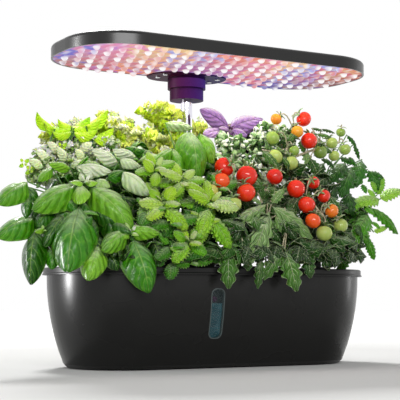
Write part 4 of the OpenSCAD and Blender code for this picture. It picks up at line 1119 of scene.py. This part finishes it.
for (across, down), depth, size, pairs, turn, tint in MINT_SHOOTS:
    tip = seen(across, down, depth)
    rosette("mint", "mint", tip, Vector((-0.2, -0.75, 0.75)).normalized(), size, pairs, turn, tint)
    stem("mint", (heart(MINT_BALLS, tip), (tip + heart(MINT_BALLS, tip)) / 2, tip), 1.0)
shown_leaves("mint", "mint", MINT_BALLS, MINT_LEAVES)
fill_crown("mint", "mint_fill", MINT_BALLS, 22, 20, shape=0.66, tint=(0.06, 0.4))
# Balls inside the crown; their leaves' dark tints are painted shade.
MINT_SHADE = (
    (-42, -68, 138, 14), (-62, -50, 132, 16), (-30, -60, 162, 12), (-16, -40, 178, 14), (2, -30, 196, 13),
    (-74, -80, 130, 12), (-26, -76, 150, 10), (-12, -66, 172, 9), (-44, -90, 124, 9), (-66, -90, 124, 9),
    (-90, -88, 124, 9), (-24, -92, 126, 9),
)
fill_crown("mint", "mint_fill", MINT_SHADE, 18, 24, shape=0.68, tint=(0.0, 0.34))
finish_plant("mint", green_stem, "mint_leaf")

# %% [markdown]
# ## Parsley and the pale pair at the back left
# Curled parsley is hundreds of small crisp leaflets with dark gaps between them, far too many for a table,
# so it is filled by rule from many small balls. Broad pointed leaves stand up out of it, nearly yellow
# where they are close to the lamp.

# %% Parsley
PARSLEY_BALLS = ((-152, 38, 220, 18), (-176, 32, 229, 16), (-196, 28, 233, 12), (-146, 44, 188, 12),
                 (-128, 34, 226, 13), (-206, 20, 214, 10), (-192, 14, 212, 13), (-168, 16, 222, 14))
PARSLEY_PAIR = (
    ((74, 128), (44, 123), 24, 16, 19, 0.34), ((55, 129), (37, 112), 20, 14, 14, 0.38),
    ((72, 127), (58, 119), 26, 22, 13, 0.36), ((72, 128), (101, 120), 24, 16, 20, 0.36),
    ((86, 126), (108, 110), 22, 16, 15, 0.38), ((76, 127), (90, 117), 28, 22, 14, 0.3),
    ((72, 132), (52, 131), 18, 14, 12, 0.34), ((74, 133), (98, 130), 18, 14, 16, 0.36),
    ((92, 138), (114, 128), 26, 28, 20, 0.36),
)
grow("parsley", PARSLEY_BALLS, ((-132, 46),), 1.1)
PARSLEY_MORE = (
    (-150, 30, 242, 12), (-124, 32, 240, 12), (-104, 34, 236, 10), (-172, 26, 244, 10),
    (-106, 26, 214, 12), (-190, 30, 238, 8), (-113, 30, 252, 10), (-136, 36, 258, 9), (-176, 34, 250, 8),
    (-158, 30, 254, 9), (-184, 20, 214, 12), (-160, 22, 230, 12), (-198, 16, 224, 9),
)
fill_crown("parsley", "parsley", PARSLEY_BALLS + PARSLEY_MORE, 40, 10, shape=0.9, droop=0.0, tint=(0.3, 0.8),
           spread=0.35, mix=0.42)
PARSLEY_LOW = ((-134, 48, 138, 12), (-144, 48, 162, 13), (-160, 42, 190, 13), (-130, 50, 196, 11))
fill_crown("parsley", "parsley", PARSLEY_LOW, 36, 12, shape=0.9, droop=0.0, tint=(0.05, 0.45),
           spread=0.35, mix=0.3)
PARSLEY_SHOWN = (
    ((50, 160), (36, 151), 12, 8, 15, 0.7), ((60, 152), (47, 142), 18, 14, 12, 0.72),
    ((66, 161), (57, 147), 10, 6, 12, 0.66), ((43, 167), (29, 160), 4, 2, 11, 0.66),
    ((80, 151), (92, 142), 16, 14, 11, 0.66), ((84, 160), (75, 149), 10, 6, 11, 0.62),
    ((70, 166), (86, 161), 4, 0, 11, 0.64),
)
shown_leaves("parsley", "parsley_flat", PARSLEY_BALLS, PARSLEY_SHOWN)
for across, down in ((24, 163), (62, 147), (30, 170)):
    rosette("parsley", "pale_leaf", seen(across, down, 12), TO_CAMERA, 6, 3, 0.4, 0.22, 0.8)
for base_at, tip_at, base_y, tip_y, width, tint in PARSLEY_PAIR:
    base, tip = seen(*base_at, base_y), seen(*tip_at, tip_y)
    lay("parsley", "pale_leaf", base, tip, width, TO_CAMERA + Vector((0, 0, 0.35)), tint)
    stem("parsley", (heart(PARSLEY_BALLS, base), (base + heart(PARSLEY_BALLS, base)) / 2, base), 1.0)
finish_plant("parsley", green_stem, "parsley_leaf")

# %% [markdown]
# ## Lettuce
# Leaf lettuce grows in heads of upright fans with frilled edges, and it is the yellowest plant here. A head
# could be filled like a crown, but its leaves all rise from one base, so they are set in a spiral that opens
# outwards.

# %% Lettuce heads
LETTUCE_BALLS = (
    (-104, 50, 278, 15), (-140, 53, 268, 13), (-170, 58, 263, 11), (-86, 48, 272, 14), (-44, 46, 300, 15),
    (-30, 44, 300, 14), (-22, 66, 290, 12), (-122, 52, 256, 14), (-86, 50, 256, 15), (-56, 44, 266, 14),
    (-44, 34, 250, 12), (-150, 56, 252, 12), (32, 80, 287, 12), (-28, 32, 262, 11),
)
grow("lettuce", LETTUCE_BALLS, ((-72, 46),), 1.6)
HEAD_LEAVES = 14
for cx, cy, cz, r in LETTUCE_BALLS:
    for i in range(HEAD_LEAVES):
        turn = i * GOLDEN_ANGLE
        ring = math.sqrt((i + 0.5) / HEAD_LEAVES)
        out = Vector((math.cos(turn), math.sin(turn), 0))
        base = mm(cx, cy, cz - r * 1.1) + out * r / 1000 * 0.3 * ring
        way = (out * (0.12 + 0.85 * ring) + Vector((0, 0, 1.1 - 0.5 * ring))).normalized()
        tip = base + way * chance.uniform(1.5, 2.0) * r / 1000
        facing = Vector((0, 0, 0.6)) - out * 0.8 if ring < 0.5 else Vector((0, 0, 1)) + out * 0.3
        if clear(base, tip, r * 1.4, facing):
            tint = 0.84 - 0.24 * ring + chance.uniform(-0.22, 0.26)
            lay("lettuce", "lettuce", base, tip, r * 1.4, facing, tint)
fill_crown("lettuce", "lettuce_fill", LETTUCE_BALLS, 16, 15, shape=0.95, droop=-0.2, tint=(0.55, 0.9),
           mix=0.25)
LETTUCE_LOW = (
    (-76, 48, 142, 15), (-92, 50, 168, 16), (-60, 50, 172, 14), (-78, 54, 196, 17), (-104, 56, 212, 16),
    (-54, 50, 214, 14), (-82, 52, 232, 16), (-128, 56, 230, 14), (-112, 50, 184, 13),
)
fill_crown("lettuce", "lettuce_low", LETTUCE_LOW, 16, 32, shape=0.7, droop=-0.7, tint=(0.0, 0.4), mix=0.12)
LETTUCE_SHOWN = (
    ((176, 146), (186, 134), 20, 12, 12, 0.3), ((168, 134), (160, 120), 30, 26, 12, 0.4),
)
shown_leaves("lettuce", "lettuce", LETTUCE_BALLS, LETTUCE_SHOWN)
finish_plant("lettuce", green_stem, "lettuce_leaf")

# %% [markdown]
# ## Purple basil and thyme
# Purple basil has the same puffed leaves on a dark stem, so it is made as the green one is. Thyme makes a
# cushion of tiny grey-green leaves. Noise on a solid cushion would look like felt, so the leaves are real.

# %% Purple basil
PURPLE_BALLS = ((64, 30, 262, 13), (50, 26, 278, 9), (70, 40, 226, 11))
PURPLE_LEAVES = (
    ((229.6, 128), (200.5, 110), 22, 16, 26, 0.46), ((229.8, 127.5), (262, 119), 22, 16, 25, 0.48),
    ((226, 130.5), (203.5, 134), 20, 14, 19, 0.62), ((229, 129), (219, 128), 20, 12, 7, 0.6),
    ((232, 130), (247, 136), 18, 10, 12, 0.5), ((228, 127), (214, 120), 26, 24, 12, 0.2),
    ((231, 129), (228, 138), 18, 12, 9, 0.2), ((233, 127), (250, 127), 20, 14, 11, 0.36),
)
grow("purple_basil", PURPLE_BALLS, ((72, 46),), 1.4)
shown_leaves("purple_basil", "purple", PURPLE_BALLS, PURPLE_LEAVES)
PURPLE_MORE = ((68, 24, 284, 8), (72, 44, 142, 11), (70, 44, 168, 12), (74, 42, 198, 12), (60, 40, 236, 11))
fill_crown("purple_basil", "purple_fill", PURPLE_BALLS + PURPLE_MORE, 14, 19, shape=0.66,
           tint=(0.1, 0.66), mix=0.2)
finish_plant("purple_basil", purple_stem, "purple_leaf")

# %% Thyme
THYME_BALLS = ((56, 0, 246, 16), (32, 4, 254, 12), (72, 0, 214, 12), (84, 6, 244, 12), (44, -8, 232, 12),
               (98, 2, 232, 11))
grow("thyme", THYME_BALLS, ((80, 0),), 1.0)
THYME_MORE = (
    (20, 0, 238, 12), (8, -6, 222, 12), (56, -12, 226, 13), (80, -10, 222, 12), (30, -10, 210, 14),
    (108, 0, 250, 10), (104, -6, 210, 13), (118, 4, 232, 12), (92, 6, 262, 10), (100, -2, 280, 7),
    (25, 6, 265, 9), (83, 2, 283, 9), (92, 4, 276, 9), (74, 4, 276, 8), (70, 0, 266, 11),
    (78, -4, 252, 11), (24, 4, 260, 8), (42, 0, 262, 9), (14, -8, 232, 10), (110, -4, 262, 8),
)
fill_crown("thyme", "thyme", THYME_BALLS + THYME_MORE, 56, 8, shape=0.8, droop=0.0, tint=(0.3, 0.7),
           spread=0.4, mix=0.42)
finish_plant("thyme", green_stem, "feathery_leaf")

# %% [markdown]
# ## Tomatoes
# The fruit of a dwarf cherry tomato is a slightly flattened ball with a dimple where its stalk joins. Each
# colour could be a material of its own. One material is enough, because every copy of the one modelled fruit
# carries a `ripeness` that turns it from green through orange to red.

# %% Fruit finish
RIPENING = ((0.0, "#5f7a2e"), (0.14, "#8fae4a"), (0.3, "#b4c466"), (0.48, "#e4a42c"), (0.64, "#f2661a"),
            (0.8, "#ec3014"), (1.0, "#d4200e"))

# Smooth, taut and waxy: a small sharp highlight, and a little light through the flesh.
tomato_skin, tree, shader = start_finish("waxy_tomato_skin", {
    "Roughness": 0.14, "IOR": 1.45, "Subsurface Weight": 0.15, "Subsurface Radius": (1.0, 0.3, 0.1),
    "Subsurface Scale": 0.002})
place = add_node(tree, "TexCoord").outputs["Object"]
blush = add_node(tree, "TexNoise", {"Vector": place, "Scale": 90.0, "Detail": 2.0})
shift = add_node(tree, "MapRange", {"Value": blush, "To Min": -0.07, "To Max": 0.07})
ripeness = add_node(tree, "Attribute", attribute_name="ripeness").outputs["Fac"]
level = add_node(tree, "Math", {0: ripeness, 1: shift}, operation="ADD")
ripe = add_node(tree, "ValToRGB", {"Fac": level}, stops=[(at, linear(colour)) for at, colour in RIPENING])
tree.links.new(ripe.outputs[0], shader.inputs["Base Color"])
pores = add_node(tree, "TexNoise", {"Vector": place, "Scale": 1400.0, "Detail": 1.0})
bump = add_node(tree, "Bump", {"Height": pores, "Distance": 0.0001, "Strength": 0.2})
tree.links.new(bump.outputs[0], shader.inputs["Normal"])
print("fruit finish:", tomato_skin.name)

# %% One fruit
begin()
bpy.ops.mesh.primitive_uv_sphere_add(segments=24, ring_count=14, radius=1)
fruit_master = bpy.context.object
bpy.ops.object.mode_set(mode="EDIT")
bpy.ops.mesh.select_all(action="SELECT")
bpy.ops.transform.resize(value=(1, 1, 0.94))
for reach, drop in ((0.3, -0.05), (0.12, -0.07)):
    pick(fruit_master, lambda p: p.z > 0 and Vector((p.x, p.y)).length < reach + 0.15)
    bpy.ops.transform.translate(value=(0, 0, drop))
bpy.ops.object.mode_set(mode="OBJECT")
bpy.ops.object.shade_smooth()
fruit_master.data.materials.append(tomato_skin)
print("one fruit:", len(fruit_master.data.polygons), "faces")

# %% Where the fruits hang: place, radius and ripeness
FRUIT = (
    (83, -20, 292, 6.9, 0.55), (123, -20, 295, 9.4, 0.82), (110, -25, 278, 7.7, 0.5),
    (127, -25, 268, 10.1, 0.86), (75, -25, 268, 8.4, 0.16), (75, -30, 245, 9.2, 0.26),
    (94, -35, 238, 8.8, 0.27), (103, -28, 254, 6.9, 0.12), (147, -20, 256, 8.6, 0.06),
    (168, -15, 269, 7.4, 0.22), (190, -12, 263, 7.5, 0.2), (184, -12, 284, 6, 0.1),
    (169, -18, 253, 7, 0.24), (-7, -50, 226, 11.4, 0.88), (-18, -62, 208, 10.1, 0.72),
    (17, -60, 216, 12.3, 0.9), (10, -70, 196, 10.8, 0.78), (58, -55, 218, 9.6, 0.98),
    (-35, -70, 196, 7.8, 0.34), (-13, -82, 181, 8.5, 0.3), (81, -65, 204, 10.7, 0.84),
    (109, -60, 213, 7.5, 0.9), (89, -75, 185, 10.1, 0.8), (118, -68, 197, 7.8, 0.86),
    (90, -86, 166, 9.1, 0.7), (122, -78, 179, 8.2, 0.58), (104, -88, 152, 9.6, 0.27),
    (133, -80, 162, 8.7, 0.25),
)

# %% The vine and its branches
VINE = (
    ((40, -46, 108), (45, -50, 150), (62, -46, 200), (86, -30, 240), (104, -18, 270), (112, -14, 288)),
    ((62, -46, 200), (20, -50, 208), (-26, -60, 200)),
    ((62, -46, 200), (96, -62, 194), (112, -76, 172)),
    ((86, -30, 240), (150, -12, 262), (184, -8, 272)),
)
for branch in VINE:
    stem("tomato_vine", [mm(*p) for p in branch], 1.6)

vine_line = []
for branch in VINE:
    for a, b in zip(branch, branch[1:]):
        vine_line += [mm(*a).lerp(mm(*b), t / 6) for t in range(7)]
print("places on the vine:", len(vine_line))

# %% Hang the fruits
SEPALS = 6

fruits = []
for x, y, z, r, ripeness_level in FRUIT:
    centre = mm(x, y, z)
    joint = min(vine_line, key=lambda p: (p - centre - Vector((0, 0, 0.006))).length)
    up = ((joint - centre).normalized() + Vector((0, -0.35, 1.1))).normalized()
    turned = up.to_track_quat("Z", "Y").to_matrix().to_4x4()
    size = r / 1000
    fruit = copy_of(fruit_master, Matrix.Translation(centre) @ turned @ Matrix.Scale(size, 4), "fruit")
    mark(fruit, "ripeness", ripeness_level)
    fruits.append(fruit)
    top = centre + up * size * 0.88
    knuckle = top + up * 0.006 + (joint - top).normalized() * 0.002
    stem("tomato_vine", (centre + up * size * 0.8, top + up * 0.003, knuckle, joint), 0.8)
    for i in range(SEPALS):
        turn = i * 2 * math.pi / SEPALS + x
        way = turned.to_3x3() @ Vector((math.cos(turn), math.sin(turn), 0))
        reach = size * chance.uniform(0.85, 1.2)
        tip = top + way * reach + up * reach * chance.uniform(-0.1, 0.5)
        lay("tomato_vine", "sepal", top, tip, r * 0.3, up, chance.uniform(0.55, 0.9))
bpy.data.objects.remove(fruit_master)
tomatoes = join(fruits, "tomatoes")
settle(tomatoes, "deck", "ripe_fruit", "tomato_fruit")

# %% [markdown]
# ## The tomato's leaves
# A tomato leaf is a stalk with deeply lobed leaflets. They are downy, so they look grey-green where the light
# falls on them. The lowest leaves hang over the rim at the front. They are laid one by one, as the basil's
# are, and the inside of the vine is filled by rule with dark leaves whose tint is painted shade.

# %% Tomato leaves
VINE_BALLS = ((40, -66, 158, 15), (17, -76, 161, 12), (62, -76, 158, 12), (-14, -84, 154, 11))
VINE_TIPS = ((62, -46, 200, 8), (86, -30, 240, 8), (104, -18, 270, 6), (150, -14, 262, 6),
             (112, -70, 168, 10), (30, -50, 204, 8), (126, -78, 134, 12), (96, -64, 136, 14))
VINE_HEARTS = VINE_BALLS + VINE_TIPS
VINE_LEAVES = (
    ((267, 204), (234, 227), -72, -86, 22, 0.66), ((269.6, 211), (252, 258), -76, -98, 31, 0.66),
    ((271.5, 206), (309, 236), -74, -90, 26, 0.64), ((271.5, 204), (283, 190), -70, -72, 14, 0.62),
    ((262, 203), (252, 199), -66, -70, 12, 0.6), ((227.6, 244), (228.5, 285), -90, -104, 27, 0.46),
    ((261, 257), (258, 286), -92, -106, 14, 0.38), ((282, 249), (265, 277), -90, -104, 21, 0.46),
    ((284.8, 250), (295.7, 288), -90, -108, 29, 0.5), ((276, 216), (283, 232), -78, -86, 14, 0.6),
    ((290, 176), (296, 160), -18, -14, 14, 0.3), ((284, 150), (300, 172), -6, -14, 18, 0.3),
    ((300, 128), (290, 140), -22, -26, 12, 0.44), ((310, 158), (318, 176), -26, -30, 18, 0.28),
    ((316, 134), (330, 137), -14, -16, 8, 0.5), ((262, 150), (278, 168), -30, -40, 16, 0.4),
    ((240, 232), (244, 256), -82, -92, 22, 0.2), ((296, 236), (312, 262), -84, -92, 24, 0.24),
    ((318, 240), (328, 268), -82, -92, 22, 0.26), ((306, 250), (310, 276), -88, -98, 20, 0.3),
    ((340, 240), (345, 262), -76, -84, 18, 0.3), ((330, 196), (340, 216), -60, -66, 16, 0.34),
    ((246, 250), (248, 269), -90, -98, 18, 0.3), ((304, 150), (311, 168), -12, -16, 15, 0.76),
    ((300, 140), (304, 152), -10, -14, 12, 0.5), ((312, 128), (322, 131), -14, -16, 6, 0.3),
    ((321, 129), (334, 133), -14, -16, 6, 0.24), ((298, 134), (293, 124), -16, -18, 10, 0.7),
    ((254, 176), (262, 196), -50, -58, 18, 0.34), ((285, 208), (296, 220), -66, -74, 18, 0.3),
)
shown_leaves("tomato_vine", "tomato", VINE_HEARTS, VINE_LEAVES)
fill_crown("tomato_vine", "tomato_fill", VINE_BALLS, 20, 24, shape=0.6, tint=(0.1, 0.5))
fill_crown("tomato_vine", "tomato_fill", VINE_TIPS, 14, 18, shape=0.6, tint=(0.15, 0.6))
# Balls inside the crown; their leaves' dark tints are painted shade.
VINE_SHADE = (
    (100, -36, 184, 12), (60, -40, 180, 14), (84, -50, 168, 13), (30, -30, 180, 14), (70, -30, 148, 14),
    (46, -36, 134, 12), (112, -20, 226, 12), (140, -30, 212, 12), (150, -30, 188, 12),
    (134, -16, 172, 12), (20, -40, 158, 12), (90, -20, 190, 14), (80, -72, 140, 13), (128, -82, 142, 10),
    (60, -60, 150, 14), (150, -60, 150, 12), (150, -10, 140, 12), (-7, -92, 126, 9), (16, -92, 128, 9),
    (40, -86, 126, 10), (66, -88, 126, 10), (90, -86, 126, 10), (112, -88, 126, 9), (140, -78, 128, 10),
    (160, -60, 130, 10),
)
fill_crown("tomato_vine", "tomato_fill", VINE_SHADE, 18, 27, shape=0.66, tint=(0.0, 0.36))
finish_plant("tomato_vine", downy_stem, "vine_leaf")

# %% [markdown]
# ## The right end
# A pepper plant with dark lobed leaves stands at the back right, and oregano's toothed sprigs reach out past
# the deck's end. Both use the same two ways: single leaves where they show, and filled crowns behind them.

# %% Pepper
PEPPER_BALLS = ((148, 22, 206, 16), (172, 14, 220, 13), (138, 40, 176, 12), (160, 4, 190, 12))
PEPPER_LEAVES = (
    ((347, 135), (356, 147), -4, -8, 8, 0.34), ((354, 144), (359, 159), -8, -12, 7, 0.3),
    ((362, 160), (356, 186), -4, -12, 24, 0.46), ((356, 166), (349, 158), 0, -4, 11, 0.4),
    ((368, 170), (380, 190), -6, -12, 20, 0.42), ((369, 172), (383, 178), -8, -12, 11, 0.4),
    ((346, 163), (330, 182), -6, -16, 26, 0.3), ((352, 168), (341, 196), -8, -20, 28, 0.36),
    ((324, 163), (311, 182), -4, -14, 20, 0.28), ((334, 166), (322, 160), -4, -8, 13, 0.3),
    ((362, 184), (366, 193), -10, -14, 10, 0.5), ((345, 190), (352, 214), -14, -24, 22, 0.28),
    ((334, 182), (330, 206), -14, -24, 20, 0.2), ((340, 158), (352, 164), 2, 0, 12, 0.3),
)
grow("pepper", PEPPER_BALLS, ((132, 46),), 1.5)
shown_leaves("pepper", "pepper", PEPPER_BALLS, PEPPER_LEAVES)
fill_crown("pepper", "pepper_fill", PEPPER_BALLS, 15, 22, shape=0.55, tint=(0.12, 0.55))
# Balls inside the crown; their leaves' dark tints are painted shade.
PEPPER_SHADE = (
    (140, 10, 226, 12), (120, 26, 200, 14), (170, 0, 200, 12), (150, 20, 150, 14), (124, 20, 160, 14),
)
fill_crown("pepper", "pepper_fill", PEPPER_SHADE, 14, 24, shape=0.6, tint=(0.0, 0.36))
finish_plant("pepper", green_stem, "dark_leaf")

# %% Oregano
SPRIG_BALLS = ((184, -6, 172, 13), (170, -3, 146, 11), (203, -11, 180, 11), (166, -20, 158, 12))
SPRIG_LEAVES = (
    ((377, 195), (383, 178), -10, -12, 13, 0.62), ((380, 199), (401, 190), -12, -12, 18, 0.72),
    ((377, 192), (371, 182), -10, -14, 11, 0.6), ((380, 199), (352, 205), -14, -20, 20, 0.68),
    ((372, 208), (397, 233), -14, -20, 17, 0.42), ((374, 232), (387, 227), -16, -16, 9, 0.74),
    ((366, 237), (374, 259), -16, -20, 13, 0.4), ((368, 214), (352, 243), -18, -30, 28, 0.44),
    ((360, 198), (349, 213), -16, -22, 15, 0.56), ((345, 247), (341, 272), -40, -56, 21, 0.4),
    ((358, 246), (360, 260), -20, -24, 9, 0.5), ((356, 226), (368, 243), -18, -26, 19, 0.36),
    ((376, 200), (368, 190), -12, -14, 11, 0.64), ((352, 232), (342, 248), -30, -44, 20, 0.34),
    ((372, 222), (380, 228), -16, -18, 7, 0.5), ((364, 206), (374, 214), -18, -20, 12, 0.5),
)
grow("oregano", SPRIG_BALLS, ((160, 0),), 1.2)
shown_leaves("oregano", "sprig", SPRIG_BALLS, SPRIG_LEAVES)
fill_crown("oregano", "sprig_fill", SPRIG_BALLS, 15, 17, shape=0.5, tint=(0.15, 0.55))
# Balls inside the crown; their leaves' dark tints are painted shade.
SPRIG_SHADE = (
    (190, -14, 186, 12), (206, -10, 172, 12), (196, -22, 160, 12), (212, -6, 188, 9), (176, -30, 142, 12),
    (190, -24, 148, 10), (168, -34, 128, 10), (190, -12, 132, 10), (160, -34, 138, 11),
    (176, -24, 150, 12), (188, -8, 142, 10), (176, 6, 160, 12),
)
fill_crown("oregano", "sprig_fill", SPRIG_SHADE, 14, 20, shape=0.55, tint=(0.0, 0.36))
finish_plant("oregano", green_stem, "sprig_leaf")

# %% Remove the masters
for master in masters.values():
    bpy.data.objects.remove(master)
print("plants:", ", ".join(sorted(growing)))

# %% [markdown]
# ## Studio
# The floor is pale and runs far back, so the view has no horizon. What the camera and reflections see of the
# floor's far part and of the world is white, and the floor keeps the garden's shadow. The lamps could be
# turned up until all of it clips to white, but that would bleach the leaves, so the white depends on the
# kind of ray.

# %% Rays that see a white studio
def looking_rays(tree):
    """1 for camera, glossy and transmission rays, and 0 for the light that falls on the garden."""
    path = add_node(tree, "LightPath")
    looking = add_node(tree, "Math", {0: path.outputs["Is Camera Ray"], 1: path.outputs["Is Glossy Ray"]},
                       operation="MAXIMUM")
    return add_node(tree, "Math", {0: looking, 1: path.outputs["Is Transmission Ray"]}, operation="MAXIMUM")


# %% Floor
FLOOR_RADIUS = 6

begin()
bpy.ops.mesh.primitive_circle_add(vertices=64, radius=FLOOR_RADIUS, fill_type="NGON")
floor = bpy.context.object
floor.name = "floor"
# Matt and pale, with a white glow that sets in half a metre out, past the shadow.
floor_finish, tree, shader = start_finish("pale_studio_floor", {"Roughness": 0.9,
                                                                "Base Color": linear("#dadad8")})
reach = add_node(tree, "VectorMath", {0: add_node(tree, "TexCoord").outputs["Object"]}, operation="LENGTH")
glow = add_node(tree, "MapRange", {"Value": reach.outputs["Value"], "From Min": 0.5, "From Max": 1.7,
                                   "To Max": 0.9})
lift = add_node(tree, "Emission", {"Color": (1, 1, 1, 1), "Strength": glow})
raised = add_node(tree, "AddShader", {0: shader, 1: lift})
floor_mix = add_node(tree, "MixShader", {0: looking_rays(tree), 1: shader, 2: raised})
tree.links.new(floor_mix.outputs[0], tree.nodes["Material Output"].inputs["Surface"])
floor.data.materials.append(floor_finish)
print("floor radius:", FLOOR_RADIUS, "m")

# %% World
WORLD_LIGHT = 0.25

world = bpy.data.worlds.new("studio")
bpy.context.scene.world = world
world.use_nodes = True
tree = world.node_tree
tree.nodes.clear()
level = add_node(tree, "MapRange", {"Value": looking_rays(tree), "To Min": WORLD_LIGHT, "To Max": 1.0})
sky = add_node(tree, "Background", {"Color": (1, 1, 1, 1), "Strength": level})
add_node(tree, "OutputWorld", {"Surface": sky})
print("world light:", WORLD_LIGHT)

# %% [markdown]
# ### Lamps
# A wide lamp in front and one above and behind light the garden at a plain level. A tall strip stands at
# the left and a faint one at the right. The left one lights no matt surface, so it only draws a highlight
# down the tank's wall. The grow light shines from under the garden's own lamp onto the leaves. It is hidden
# from the camera and from reflections, where the glowing sheet shows instead.

# %% Lamps
def soft_lamp(name, place, aim, width, height, watts):
    """A rectangle of soft light at a place, turned towards its aim."""
    data = bpy.data.lights.new(name, "AREA")
    data.shape, data.size, data.size_y, data.energy = "RECTANGLE", width, height, watts
    lamp = bpy.data.objects.new(name, data)
    bpy.context.collection.objects.link(lamp)
    lamp.location = place
    lamp.rotation_euler = (Vector(aim) - Vector(place)).to_track_quat("-Z", "Y").to_euler()
    return lamp


soft_lamp("front", (-0.56, -1.6, 0.72), (-0.15, -0.09, 0.3), 1.3, 0.2, 17)
soft_lamp("top", (0.1, 0.75, 1.25), (0, 0, 0.15), 0.3, 0.24, 18)
left_strip = soft_lamp("left_strip", (-1.25, 0.45, 0.16), (-0.1, 0, 0.1), 0.08, 0.7, 46)
left_strip.visible_diffuse = False
soft_lamp("right_strip", (1.3, -0.1, 0.14), (0.1, 0, 0.1), 0.14, 0.7, 2)
grow_light = soft_lamp("grow_light", (0, LAMP_MIDDLE_Y, 0.343), (0, LAMP_MIDDLE_Y, 0), 0.34, 0.12, 0.4)
grow_light.visible_camera = grow_light.visible_glossy = False
print("lamps:", [light.name for light in bpy.data.lights])

# %% [markdown]
# ## Close
# The view transform is Standard, so a colour renders about as it is written.

# %% Finish
bpy.context.scene.view_settings.view_transform = "Standard"
bpy.context.view_layer.update()
